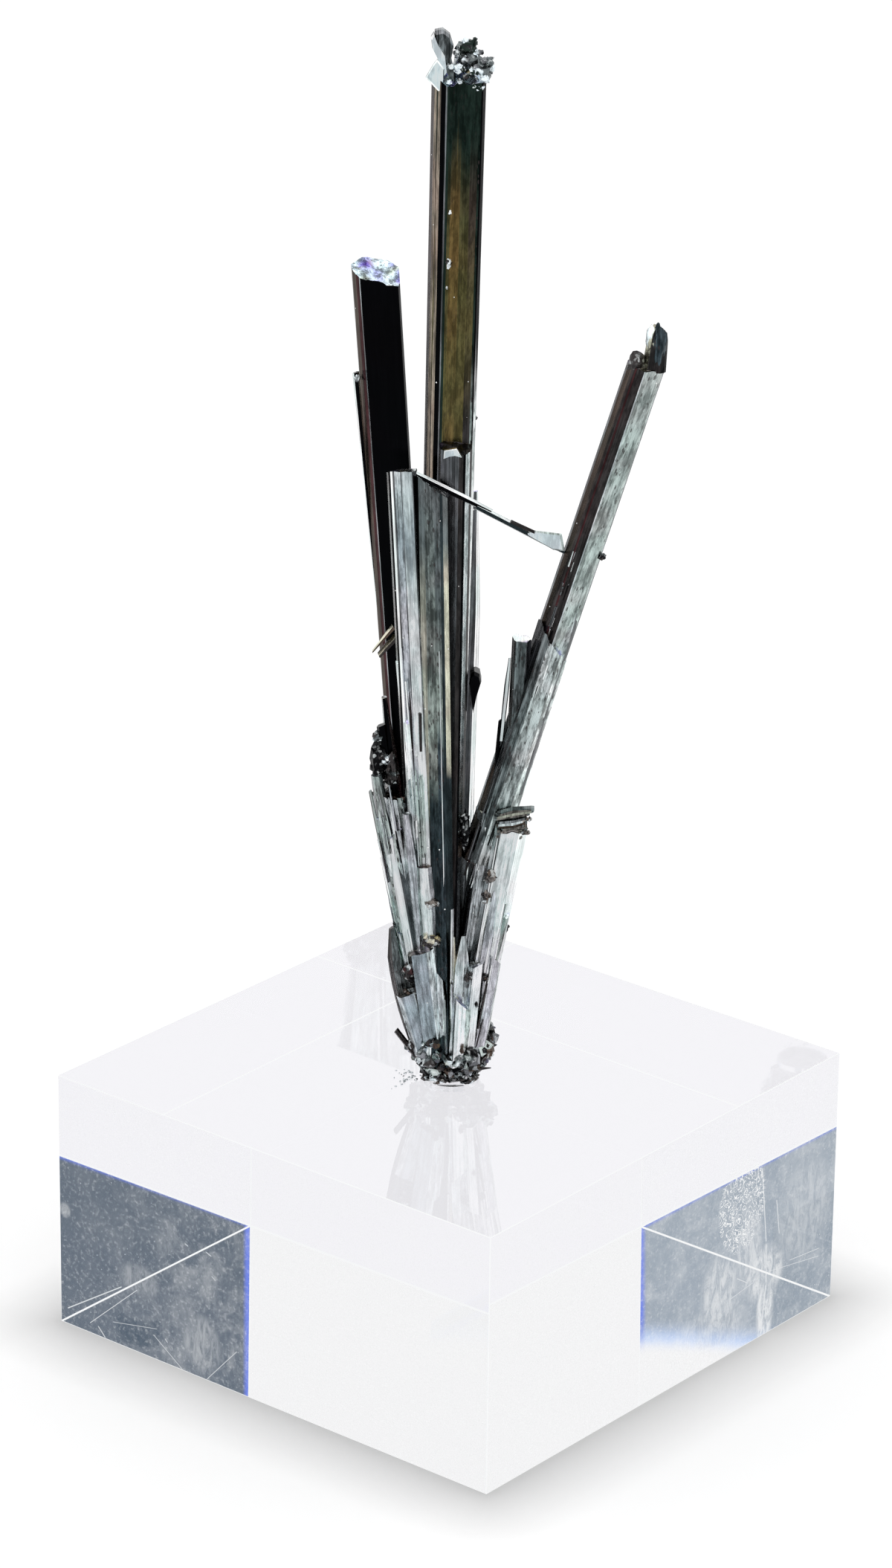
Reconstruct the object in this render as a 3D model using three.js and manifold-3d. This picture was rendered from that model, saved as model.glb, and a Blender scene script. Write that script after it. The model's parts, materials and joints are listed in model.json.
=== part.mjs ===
// A stibnite crystal spray glued into a shallow socket in a clear acrylic display block.
// Units are millimetres, +Z is up. The origin is the centre of the block's underside,
// and the block's four sides face +X, -X, +Y and -Y.
import * as THREE from 'three';
import { mergeVertices } from 'three/addons/utils/BufferGeometryUtils.js';
import Module from 'manifold-3d';

const wasm = await Module();
wasm.setup();

// Driving dimensions.
const BLOCK_SIDE = 50.8;
const BLOCK_HEIGHT = 25.0;
const EDGE_BEVEL = 0.1;

const SOCKET_RADIUS = 2.6;
const SOCKET_DEPTH = 1.5;
const SOCKET_SIDES = 32;
const FIT_GAP = 0.3;
const GLUE_WALL = 0.6;
const GLUE_RISE = 0.48;

// The spray has its own frame: x across its broad side, y towards its back, z up from the
// block's top face. The frame stands on the socket's centre and is turned about Z.
const SPRAY_TURN = THREE.MathUtils.degToRad(39.4);
const SOCKET_FORWARD = 2.5;
const ROOT_RADIUS = SOCKET_RADIUS - 2 * FIT_GAP - GLUE_WALL;

const STIBNITE_GREY = 0x4a4e50;
const ACRYLIC_WHITE = 0xf4f5fa;
const GLUE_WHITE = 0xe9ecec;

// ---------------------------------------------------------------- solids

// A manifold solid from a closed three.js geometry.
function solidFrom(geometry) {
  const bare = geometry.clone();
  bare.deleteAttribute('normal');
  bare.deleteAttribute('uv');
  const merged = mergeVertices(bare, 1e-4);
  return new wasm.Manifold(new wasm.Mesh({
    numProp: 3,
    vertProperties: new Float32Array(merged.attributes.position.array),
    triVerts: new Uint32Array(merged.index.array),
  }));
}

// A three.js geometry from a manifold solid.
function geometryFrom(solid) {
  const mesh = solid.getMesh();
  const geometry = new THREE.BufferGeometry();
  geometry.setAttribute('position', new THREE.BufferAttribute(mesh.vertProperties, 3));
  geometry.setIndex(new THREE.BufferAttribute(mesh.triVerts, 1));
  geometry.computeVertexNormals();
  return geometry;
}

function joined(solids) {
  return solids.reduce((whole, solid) => whole.add(solid));
}

// ---------------------------------------------------------------- crystals

// The section of a stibnite prism: two broad faces joined by bevelled flanks.
// face is how much of the width the broad faces take up.
function prismSection(width, depth, face) {
  const half = width / 2;
  const flat = half * face;
  const deep = depth / 2;
  const flank = deep * 0.35;
  return new THREE.Shape([
    new THREE.Vector2(half, -flank),
    new THREE.Vector2(half, flank),
    new THREE.Vector2(flat, deep),
    new THREE.Vector2(-flat, deep),
    new THREE.Vector2(-half, flank),
    new THREE.Vector2(-half, -flank),
    new THREE.Vector2(-flat, -deep),
    new THREE.Vector2(flat, -deep),
  ]);
}

// One prism from its foot to its tip. turn spins it about its own axis, narrow is the foot's
// width over the tip's, and cut gives the slope of the broken end across and front to back.
function crystal({ foot, tip, width, depth, turn = 0, narrow = 0.8, cut = [0, 0], face = 0.6 }) {
  const start = new THREE.Vector3(...foot);
  const end = new THREE.Vector3(...tip);
  const along = end.clone().sub(start);
  const length = along.length();
  const section = prismSection(width, depth, face);
  const geometry = new THREE.ExtrudeGeometry(section, { depth: length, bevelEnabled: false });
  const place = geometry.attributes.position;
  for (let i = 0; i < place.count; i += 1) {
    const atTip = place.getZ(i) > length / 2;
    const grow = atTip ? 1 : narrow;
    const x = place.getX(i) * grow;
    const y = place.getY(i) * grow;
    const lift = atTip ? cut[0] * x + cut[1] * y : 0;
    place.setXYZ(i, x, y, place.getZ(i) + lift);
  }
  const axis = along.normalize();
  const across = new THREE.Vector3(1, 0, 0);
  across.addScaledVector(axis, -across.dot(axis)).normalize();
  const back = axis.clone().cross(across);
  const basis = new THREE.Matrix4().makeBasis(across, back, axis);
  geometry.rotateZ(THREE.MathUtils.degToRad(turn));
  geometry.applyMatrix4(basis);
  geometry.translate(start.x, start.y, start.z);
  return solidFrom(geometry);
}

// A rough grain: a twenty-faced lump with its corners in different distances.
function grain([x, y, z], size, twist) {
  const geometry = mergeVertices(bareIcosahedron(size));
  const place = geometry.attributes.position;
  for (let i = 0; i < place.count; i += 1) {
    const swell = 0.86 + 0.14 * Math.sin(3.1 * i + 2.3 * twist);
    place.setXYZ(i, place.getX(i) * swell, place.getY(i) * swell, place.getZ(i) * swell);
  }
  geometry.rotateX(twist);
  geometry.rotateY(1.7 * twist);
  geometry.translate(x, y, z);
  return solidFrom(geometry);
}

function bareIcosahedron(size) {
  const geometry = new THREE.IcosahedronGeometry(size, 0);
  geometry.deleteAttribute('normal');
  geometry.deleteAttribute('uv');
  return geometry;
}

// The main crystals, tallest first.
const MAIN_CRYSTALS = [
  // The tall central prism.
  { foot: [-1.6, 1.0, 0.4], tip: [-0.4, 4.0, 92.6], width: 4.6, depth: 3.8, turn: 12, cut: [0.1, 0.25] },
  // The left prism with its slanting fracture.
  { foot: [-2.0, 1.0, 0.4], tip: [-7.5, 6.5, 74.2], width: 4.1, depth: 3.7, turn: 18, cut: [-0.22, 0.42] },
  // The right prism, the lower ones that it grew out of, and the broken-off strip on its flank.
  {
    foot: [2.2, 0.2, 21.2], tip: [16.15, -0.2, 68.0],
    width: 3.3, depth: 3.1, turn: -24, narrow: 1, cut: [0.1, 0.1],
  },
  { foot: [2.5, 0.0, 21.4], tip: [8.5, -0.3, 42.6], width: 3.5, depth: 2.9, narrow: 1, cut: [-0.9, 0] },
  { foot: [0.4, 0.2, 0.6], tip: [3.4, 0.0, 26.0], width: 3.0, depth: 2.8 },
  { foot: [5.5, -0.4, 28.0], tip: [10.7, -0.5, 46.4], width: 1.3, depth: 1.3, cut: [1.2, 0] },
  // The front blade: a bright half and a dark half side by side.
  {
    foot: [-1.5, -1.3, 0.4], tip: [-5.0, -0.7, 58.3],
    width: 2.7, depth: 2.7, narrow: 0.9, cut: [0.05, -0.25],
  },
  {
    foot: [-0.9, -1.2, 0.4], tip: [-2.4, -0.6, 56.9],
    width: 2.8, depth: 2.8, narrow: 0.95, cut: [-0.78, -0.2],
  },
  // The inner prism and the slender one behind it.
  { foot: [-0.5, 0.0, 0.4], tip: [-0.3, 0.8, 60.1], width: 2.9, depth: 2.6, cut: [-0.05, 0.3] },
  { foot: [0.3, 1.4, 0.4], tip: [1.5, 4.6, 54.4], width: 1.5, depth: 1.8, narrow: 1.35 },
];

// The shorter prisms fanned round the foot: front right, beside the fork, left, bottom left.
const LOWER_CRYSTALS = [
  { foot: [1.0, -1.2, 0.6], tip: [5.15, -2.0, 25.4], width: 2.9, depth: 2.2, turn: -4, cut: [0.15, 0.25] },
  { foot: [1.2, -1.5, 0.6], tip: [3.7, -2.6, 19.2], width: 1.5, depth: 1.2, turn: 10 },
  { foot: [2.0, -0.7, 0.8], tip: [4.5, -1.0, 18.8], width: 1.2, depth: 1.4, cut: [-0.9, 0] },
  { foot: [2.1, -1.2, 0.7], tip: [3.7, -2.0, 12.6], width: 1.5, depth: 1.2, turn: 20, cut: [-0.8, 0] },
  {
    foot: [1.3, -1.8, 0.7], tip: [2.2, -2.8, 12.4],
    width: 1.5, depth: 1.1, turn: 14, narrow: 1, cut: [0.6, 0],
  },
  { foot: [0.3, -1.9, 0.7], tip: [0.95, -2.9, 14.6], width: 1.3, depth: 1.0, turn: -16, narrow: 1.2 },
  {
    foot: [0.6, -2.0, 0.7], tip: [0.9, -3.0, 8.6],
    width: 1.7, depth: 1.0, turn: -6, narrow: 1, cut: [-0.9, 0],
  },
  { foot: [5.2, -0.6, 30.0], tip: [5.75, -0.7, 42.8], width: 1.7, depth: 1.4, cut: [0, 0.2] },
  { foot: [-1.5, -0.4, 0.6], tip: [-5.9, -0.8, 27.6], width: 3.0, depth: 1.8, cut: [-0.3, 0] },
  { foot: [-5.5, 0.4, 26.0], tip: [-6.6, 0.4, 34.0], width: 1.0, depth: 0.8 },
  { foot: [-1.7, -1.0, 0.6], tip: [-7.0, -1.2, 29.6], width: 1.6, depth: 1.6 },
  { foot: [-2.0, -0.1, 0.6], tip: [-6.4, 0.9, 36.4], width: 1.2, depth: 1.4 },
  { foot: [-1.6, -1.3, 0.6], tip: [-5.6, -2.0, 24.0], width: 1.4, depth: 1.2, turn: -10 },
  { foot: [-1.3, -1.6, 0.6], tip: [-4.3, -2.2, 26.4], width: 1.5, depth: 1.0, turn: 8 },
  { foot: [-1.1, -1.7, 0.6], tip: [-2.7, -2.4, 21.6], width: 1.7, depth: 1.0, turn: 4 },
  {
    foot: [-1.3, -1.6, 0.6], tip: [-2.9, -2.7, 13.4],
    width: 2.5, depth: 1.2, turn: -8, narrow: 0.9, cut: [0.2, 0],
  },
  { foot: [-2.0, -1.4, 1.0], tip: [-4.0, -2.4, 9.2], width: 2.1, depth: 1.1, turn: 6, cut: [0.1, 0] },
  { foot: [-2.3, -1.0, 1.2], tip: [-5.7, -1.4, 14.8], width: 1.4, depth: 1.5, turn: 14, narrow: 0.9 },
  { foot: [-0.5, -1.8, 0.6], tip: [-1.1, -2.5, 10.6], width: 1.1, depth: 0.9, cut: [-1.4, 0] },
];

// The prisms at the back of the spray.
const BACK_CRYSTALS = [
  { foot: [-1.0, 1.6, 0.5], tip: [-3.4, 6.8, 46.0], width: 2.6, depth: 2.2, turn: 168, cut: [0.3, 0] },
  { foot: [0.9, 1.5, 0.5], tip: [0.4, 7.4, 37.0], width: 2.2, depth: 2.0, turn: 200, cut: [0, 0.4] },
  { foot: [-1.7, 1.1, 0.5], tip: [-5.4, 4.6, 28.4], width: 1.9, depth: 1.8, turn: 150 },
  { foot: [1.6, 1.1, 0.5], tip: [3.4, 5.2, 25.4], width: 2.0, depth: 1.9, turn: 215, cut: [-0.3, 0] },
  { foot: [-0.4, 1.8, 0.5], tip: [-1.6, 6.2, 22.0], width: 2.4, depth: 1.8, turn: 184 },
  { foot: [0.8, 1.7, 0.5], tip: [1.6, 4.9, 12.4], width: 2.4, depth: 1.4, turn: 190 },
  { foot: [-1.4, 1.5, 0.5], tip: [-3.2, 4.2, 13.2], width: 2.2, depth: 1.4, turn: 160 },
];

// Thin things: the needle lying across the fork and its pale fin, the broken tablets at the
// three tips, the splinters on the left, and the plates stacked on the front right prism.
const SLIVERS = [
  { foot: [-3.9, -0.9, 58.1], tip: [2.9, -0.4, 54.5], width: 0.66, depth: 0.5, narrow: 0.9 },
  { foot: [1.6, -0.5, 55.0], tip: [9.4, 0.0, 50.7], width: 0.64, depth: 0.5, narrow: 0.9 },
  { foot: [6.2, -0.2, 52.3], tip: [9.4, -0.1, 51.7], width: 1.4, depth: 0.5, narrow: 0.4 },
  { foot: [-1.3, 3.7, 92.0], tip: [-2.0, 3.8, 96.75], width: 1.3, depth: 1.1, cut: [-0.2, 0] },
  { foot: [-2.0, 3.4, 91.4], tip: [-2.5, 3.5, 93.7], width: 1.4, depth: 0.5, narrow: 0.4 },
  { foot: [16.75, -0.4, 67.2], tip: [17.1, -0.4, 71.4], width: 1.5, depth: 1.2, narrow: 1.1 },
  { foot: [-6.9, 4.4, 42.0], tip: [-9.1, 5.0, 65.0], width: 0.6, depth: 0.5, narrow: 0.5 },
  { foot: [-5.5, 2.0, 42.2], tip: [-7.2, 2.0, 40.0], width: 1.3, depth: 0.5, narrow: 1 },
  { foot: [1.6, 2.5, 35.6], tip: [1.65, 2.5, 39.2], width: 0.9, depth: 2.2, narrow: 0.4 },
  { foot: [3.9, -2.3, 24.9], tip: [6.5, -2.3, 25.5], width: 1.8, depth: 1.1, narrow: 1 },
  { foot: [3.8, -2.0, 26.2], tip: [6.8, -2.0, 26.7], width: 0.8, depth: 1.0, narrow: 1 },
  { foot: [-3.0, -1.4, 2.3], tip: [-5.0, -1.4, 5.0], width: 0.6, depth: 0.5 },
];

// Rough grains: on the tips, in the forks, and the clots lodged between the crystals.
const GRAINS = [
  { at: [0.3, 4.1, 93.6], size: 1.1 },
  { at: [0.4, 4.2, 94.9], size: 0.8 },
  { at: [1.7, 3.5, 92.9], size: 0.9 },
  { at: [-0.4, 3.2, 93.0], size: 0.7 },
  { at: [16.9, -0.5, 71.2], size: 0.9 },
  { at: [15.2, -0.6, 68.3], size: 0.8 },
  { at: [-6.6, 0.2, 31.2], size: 1.3 },
  { at: [-6.1, -0.4, 28.2], size: 0.9 },
  { at: [0.95, -0.8, 24.4], size: 1.0 },
  { at: [-1.9, -2.6, 18.0], size: 0.6 },
  { at: [-1.9, -2.6, 14.4], size: 0.8 },
  { at: [-3.8, -2.3, 10.8], size: 0.9 },
  { at: [3.2, -2.8, 20.4], size: 0.7 },
  { at: [1.5, -2.9, 11.2], size: 0.6 },
];

// The crust of grains round the foot, in three rings that stand clear of the block's top face.
function footCrust() {
  const rings = [
    { count: 9, radius: 2.0, height: 1.6, size: 0.9 },
    { count: 11, radius: 2.7, height: 2.7, size: 0.95 },
    { count: 9, radius: 2.4, height: 3.9, size: 0.9 },
  ];
  return rings.flatMap(({ count, radius, height, size }, ring) =>
    Array.from({ length: count }, (_, i) => {
      const angle = (2 * Math.PI * (i + 0.5 * ring)) / count;
      const place = [radius * Math.cos(angle), radius * Math.sin(angle), height];
      return grain(place, size, 1 + i + 10 * ring);
    }));
}

// The stub of the spray that stands in the socket.
function root() {
  const low = FIT_GAP - SOCKET_DEPTH;
  const geometry = new THREE.CylinderGeometry(ROOT_RADIUS, ROOT_RADIUS * 0.9, 2 - low, 12);
  geometry.rotateX(Math.PI / 2);
  geometry.translate(0, 0, (2 + low) / 2);
  return solidFrom(geometry);
}

// Everything round the root that would touch the block's top face.
function faceClearance() {
  const reach = 20;
  const ring = new THREE.LatheGeometry([
    new THREE.Vector2(ROOT_RADIUS, -reach),
    new THREE.Vector2(reach, -reach),
    new THREE.Vector2(reach, FIT_GAP),
    new THREE.Vector2(ROOT_RADIUS + 2 * FIT_GAP + GLUE_WALL, FIT_GAP),
    new THREE.Vector2(ROOT_RADIUS + 2 * FIT_GAP + GLUE_WALL, GLUE_RISE + FIT_GAP),
    new THREE.Vector2(ROOT_RADIUS, GLUE_RISE + FIT_GAP),
    new THREE.Vector2(ROOT_RADIUS, -reach),
  ], SOCKET_SIDES);
  ring.rotateX(Math.PI / 2);
  return solidFrom(ring);
}

function sprayGeometry() {
  const prisms = [...MAIN_CRYSTALS, ...LOWER_CRYSTALS, ...BACK_CRYSTALS, ...SLIVERS].map(crystal);
  const grains = GRAINS.map(({ at, size }, i) => grain(at, size, 30 + i));
  const whole = joined([...prisms, ...grains, ...footCrust()]);
  return geometryFrom(whole.subtract(faceClearance()).add(root()));
}

// ---------------------------------------------------------------- block and glue

// The block: a square slab whose twelve edges are bevelled, with the socket in its top.
function blockGeometry() {
  const inner = BLOCK_SIDE / 2 - EDGE_BEVEL;
  const outline = new THREE.Shape([
    new THREE.Vector2(-inner, -inner),
    new THREE.Vector2(inner, -inner),
    new THREE.Vector2(inner, inner),
    new THREE.Vector2(-inner, inner),
  ]);
  const slab = new THREE.ExtrudeGeometry(outline, {
    depth: BLOCK_HEIGHT - 2 * EDGE_BEVEL,
    bevelEnabled: true,
    bevelSize: EDGE_BEVEL,
    bevelThickness: EDGE_BEVEL,
    bevelSegments: 1,
  });
  slab.translate(0, 0, EDGE_BEVEL);
  const drill = new THREE.CylinderGeometry(SOCKET_RADIUS, SOCKET_RADIUS, 2 * SOCKET_DEPTH, SOCKET_SIDES);
  drill.rotateX(Math.PI / 2);
  drill.translate(socketCentre.x, socketCentre.y, BLOCK_HEIGHT);
  return geometryFrom(solidFrom(slab).subtract(solidFrom(drill)));
}

// The ring of set glue between the root and the socket's wall, proud of the top face.
function glueGeometry() {
  const inner = ROOT_RADIUS + FIT_GAP;
  const outer = inner + GLUE_WALL;
  const low = FIT_GAP - SOCKET_DEPTH;
  const ring = new THREE.LatheGeometry([
    new THREE.Vector2(inner, low),
    new THREE.Vector2(outer, low),
    new THREE.Vector2(outer, 0),
    new THREE.Vector2(outer - GLUE_WALL / 3, GLUE_RISE),
    new THREE.Vector2(inner, GLUE_RISE),
    new THREE.Vector2(inner, low),
  ], SOCKET_SIDES);
  ring.rotateX(Math.PI / 2);
  return ring;
}

// ---------------------------------------------------------------- the object

function finish(color, roughness, metalness) {
  return new THREE.MeshStandardMaterial({ color, roughness, metalness });
}

function named(name, geometry, material) {
  const mesh = new THREE.Mesh(geometry, material);
  mesh.name = name;
  return mesh;
}

const socketCentre = new THREE.Vector3(0, -SOCKET_FORWARD, BLOCK_HEIGHT)
  .applyAxisAngle(new THREE.Vector3(0, 0, 1), SPRAY_TURN);

const acrylic = finish(ACRYLIC_WHITE, 0.05, 0);
acrylic.transparent = true;
acrylic.opacity = 0.35;

const mounted = new THREE.Group();
mounted.position.copy(socketCentre);
mounted.rotation.z = SPRAY_TURN;
mounted.add(named('adhesive_ring', glueGeometry(), finish(GLUE_WHITE, 0.2, 0)));
mounted.add(named('stibnite_spray', sprayGeometry(), finish(STIBNITE_GREY, 0.3, 0.9)));

const specimen = new THREE.Group();
specimen.add(named('acrylic_block', blockGeometry(), acrylic));
specimen.add(mounted);

export default specimen;
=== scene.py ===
"""A stibnite crystal spray glued into a clear acrylic block: the finished surfaces and the studio.

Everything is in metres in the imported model's own frame. The crystals are built in millimetres
in the spray's own frame (x across its broad side, y towards its back, z up from the block's
top face, origin at the socket's centre) and moved into place when they are joined.
"""
import json
import math
import random
from collections import namedtuple
from functools import partialmethod

import bmesh
import bpy
from mathutils import Matrix, Vector, noise

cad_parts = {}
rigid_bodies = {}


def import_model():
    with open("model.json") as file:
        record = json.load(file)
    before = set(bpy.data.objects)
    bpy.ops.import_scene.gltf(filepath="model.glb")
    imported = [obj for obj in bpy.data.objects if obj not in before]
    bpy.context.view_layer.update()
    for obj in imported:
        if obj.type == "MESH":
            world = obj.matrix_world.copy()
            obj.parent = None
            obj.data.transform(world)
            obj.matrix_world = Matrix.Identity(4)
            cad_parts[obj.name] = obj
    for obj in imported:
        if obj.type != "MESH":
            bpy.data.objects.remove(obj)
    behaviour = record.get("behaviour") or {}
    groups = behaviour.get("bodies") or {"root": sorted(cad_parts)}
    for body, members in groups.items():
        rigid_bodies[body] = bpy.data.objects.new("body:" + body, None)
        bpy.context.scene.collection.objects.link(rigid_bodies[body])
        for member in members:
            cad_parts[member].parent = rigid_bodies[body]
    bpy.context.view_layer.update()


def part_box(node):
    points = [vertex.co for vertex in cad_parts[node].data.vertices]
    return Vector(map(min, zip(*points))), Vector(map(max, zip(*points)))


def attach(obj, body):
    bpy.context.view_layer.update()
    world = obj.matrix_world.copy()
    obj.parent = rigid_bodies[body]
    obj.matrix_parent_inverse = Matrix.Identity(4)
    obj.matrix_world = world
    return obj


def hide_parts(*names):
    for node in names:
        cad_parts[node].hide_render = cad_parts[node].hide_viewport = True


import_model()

MM = 0.001

# ---- places taken from the frame

BLOCK_LOW, BLOCK_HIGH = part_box("acrylic_block")
GLUE_LOW, GLUE_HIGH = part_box("adhesive_ring")
SIDE = BLOCK_HIGH.x - BLOCK_LOW.x
SOCKET = Vector(((GLUE_LOW.x + GLUE_HIGH.x) / 2, (GLUE_LOW.y + GLUE_HIGH.y) / 2, BLOCK_HIGH.z))

# The camera, fitted to the block's corners. The spray's broad side faces its azimuth.
VIEW_AZIMUTH = math.radians(39.4)
VIEW_ELEVATION = math.radians(21.9)
VIEW_ROLL = math.radians(0.7)
VIEW_DISTANCE = 540 * MM
VIEW_AIM = Vector((-3.4, 2.9, 50.8)) * MM
VIEW_LENS = 137.0
SENSOR_WIDTH = 36.0
CLIP = (0.01, 20.0)

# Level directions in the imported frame: towards the camera, and to the camera's right.
TOWARD = (math.sin(VIEW_AZIMUTH), -math.cos(VIEW_AZIMUTH), 0.0)
ACROSS = (math.cos(VIEW_AZIMUTH), math.sin(VIEW_AZIMUTH), 0.0)

# From the spray's own frame, in millimetres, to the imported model's.
SPRAY_FRAME = (
    Matrix.Translation(SOCKET)
    @ Matrix.Rotation(VIEW_AZIMUTH, 4, "Z")
    @ Matrix.Scale(MM, 4)
)


def placed(name, data):
    """A new object in the scene."""
    made = bpy.data.objects.new(name, data)
    bpy.context.scene.collection.objects.link(made)
    return made


def new_mesh(name, form):
    """The mesh that a bmesh form holds. The form is freed."""
    mesh = bpy.data.meshes.new(name)
    form.to_mesh(mesh)
    form.free()
    return mesh


def make_camera():
    """The photo's view."""
    camera = placed("camera", bpy.data.cameras.new("camera"))
    camera.data.lens = VIEW_LENS
    camera.data.sensor_width = SENSOR_WIDTH
    camera.data.clip_start, camera.data.clip_end = CLIP
    back = Vector(TOWARD) * math.cos(VIEW_ELEVATION)
    back.z = math.sin(VIEW_ELEVATION)
    level = (-back).to_track_quat("-Z", "Y")
    camera.rotation_mode = "QUATERNION"
    camera.rotation_quaternion = level @ Matrix.Rotation(VIEW_ROLL, 3, "Z").to_quaternion()
    camera.location = VIEW_AIM + back * VIEW_DISTANCE
    bpy.context.scene.camera = camera


# ---- shader helpers


class Nodes:
    """Short calls for building one node tree. A value is a number, a tuple or a node's output."""

    def __init__(self, tree):
        self.tree = tree

    def set(self, node, inputs):
        """Set or link some of a node's inputs, given by name or place."""
        for key, value in inputs.items():
            if isinstance(value, bpy.types.NodeSocket):
                self.tree.links.new(value, node.inputs[key])
            else:
                node.inputs[key].default_value = value
        return node

    def new(self, kind, inputs=None, **settings):
        node = self.tree.nodes.new("ShaderNode" + kind)
        for name, value in settings.items():
            setattr(node, name, value)
        return self.set(node, inputs or {})

    def math(self, operation, *values, clamp=False):
        inputs = dict(enumerate(values))
        return self.new("Math", inputs, operation=operation, use_clamp=clamp).outputs[0]

    add = partialmethod(math, "ADD")
    sub = partialmethod(math, "SUBTRACT")
    mul = partialmethod(math, "MULTIPLY")
    most = partialmethod(math, "MAXIMUM")
    size = partialmethod(math, "ABSOLUTE")
    # A value, its slope and its start.
    line = partialmethod(math, "MULTIPLY_ADD")

    def ramp(self, value, low, high, to_low=0.0, to_high=1.0):
        """A smooth step of value from low to high."""
        inputs = dict(enumerate((value, low, high, to_low, to_high)))
        return self.new("MapRange", inputs, interpolation_type="SMOOTHSTEP").outputs["Result"]

    def mix(self, factor, a, b, blend="MIX"):
        inputs = {0: factor, 6: a, 7: b}
        return self.new("Mix", inputs, data_type="RGBA", blend_type=blend).outputs[2]

    def vector(self, operation, *values, output="Vector"):
        inputs = dict(enumerate(values))
        return self.new("VectorMath", inputs, operation=operation).outputs[output]

    dot = partialmethod(vector, "DOT_PRODUCT", output="Value")
    scaled = partialmethod(vector, "MULTIPLY_ADD")

    def split(self, vector):
        return self.new("SeparateXYZ", {0: vector}).outputs

    def joined(self, *values):
        return self.new("CombineXYZ", dict(enumerate(values))).outputs[0]

    def place(self):
        """The point's place on its object."""
        return self.new("TexCoord").outputs["Object"]

    def attribute(self, name, output):
        """What the mesh has painted on it under this name."""
        return self.new("Attribute", attribute_name=name).outputs[output]

    def noise(self, vector, *settings):
        """Noise. The settings are its scale, detail, roughness and distortion."""
        names = ("Scale", "Detail", "Roughness", "Distortion")
        return self.new("TexNoise", {"Vector": vector, **dict(zip(names, settings))}).outputs["Fac"]

    def cells(self, vector, scale):
        """The distance to the nearest of many scattered points, and that point's own colour."""
        return self.new("TexVoronoi", {"Vector": vector, "Scale": scale}).outputs

    def bump(self, height, distance, strength):
        inputs = {"Height": height, "Distance": distance, "Strength": strength}
        return self.new("Bump", inputs).outputs["Normal"]


def grey(level, tint=(1.0, 1.0, 1.0)):
    return (level * tint[0], level * tint[1], level * tint[2], 1.0)


def new_material(name):
    material = bpy.data.materials.new(name)
    material.use_nodes = True
    nodes = Nodes(material.node_tree)
    return material, nodes, material.node_tree.nodes["Principled BSDF"]


# ---- world and floor

# Two dark parts of the room, to the left and to the right, show as dark windows in the block's
# right and left side. Each has
# - the shares of a direction to the side between which it darkens, and the heights that end it,
# - its inner border: how much of the side's share to add to the front's, where it lies, its width,
# - its upper border: how much of the front's share to add to the height, where it lies, and where
#   the rays through the block's top leave, which stay clear.
DARK_LEFT = ((-0.55, -0.70), (0.4594, 0.4526), (0.1786, 0.0511, 0.0010), (0.495, 0.5424, 0.540))
DARK_RIGHT = ((0.55, 0.70), (0.54, 0.50), (0.1667, 0.0051, 0.0009), (0.35, 0.3902, 0.388))
# Both begin between these heights. The clear band ends this far below the rays through the top.
WINDOW_FOOT = (0.06, 0.12)
CLEAR_BAND = (0.060, 0.075)
SHARP = 0.001

WHITE = grey(1.0)
# The room through the block: its white, its dark parts, and the blue that bends out of the light
# at their borders.
THROUGH_WHITE = grey(0.955)
THROUGH_BLUE = (0.52, 0.68, 1.0, 1.0)
LEFT_DARK = grey(0.33, (0.80, 1.0, 1.22))
RIGHT_DARK = grey(0.075, (0.55, 1.05, 1.70))
FRINGE = (0.07, 0.16, 0.80, 1.0)
# The room in the crystals' facets.
MIRRORED_WHITE = grey(1.15)
MIRRORED_FRONT = grey(0.70, (0.98, 1.0, 1.02))
MIRRORED_BACK = grey(0.45)


def window(n, parts, sides, heights, inner, upper):
    """How dark the room is in this direction, and the same along the window's borders only.

    parts has the direction's share to the side, to the front and up.
    """
    side, front, height = parts
    lean, start, fade = inner
    tilt, low, top = upper
    rise = n.line(front, tilt, height)
    above = n.ramp(rise, top - SHARP, top + SHARP)
    clear = n.most(above, n.ramp(rise, top - CLEAR_BAND[0], top - CLEAR_BAND[1]))
    dark = n.mul(n.ramp(side, *sides), n.ramp(height, *heights))
    dark = n.mul(dark, n.mul(n.ramp(height, *WINDOW_FOOT), clear))
    from_inner = n.size(n.sub(n.line(side, lean, front), start))
    from_upper = n.size(n.sub(rise, low))
    border = n.most(n.ramp(from_inner, fade, 0.1 * fade), n.ramp(from_upper, SHARP, 0.1 * SHARP))
    return dark, n.mul(dark, border)


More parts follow.
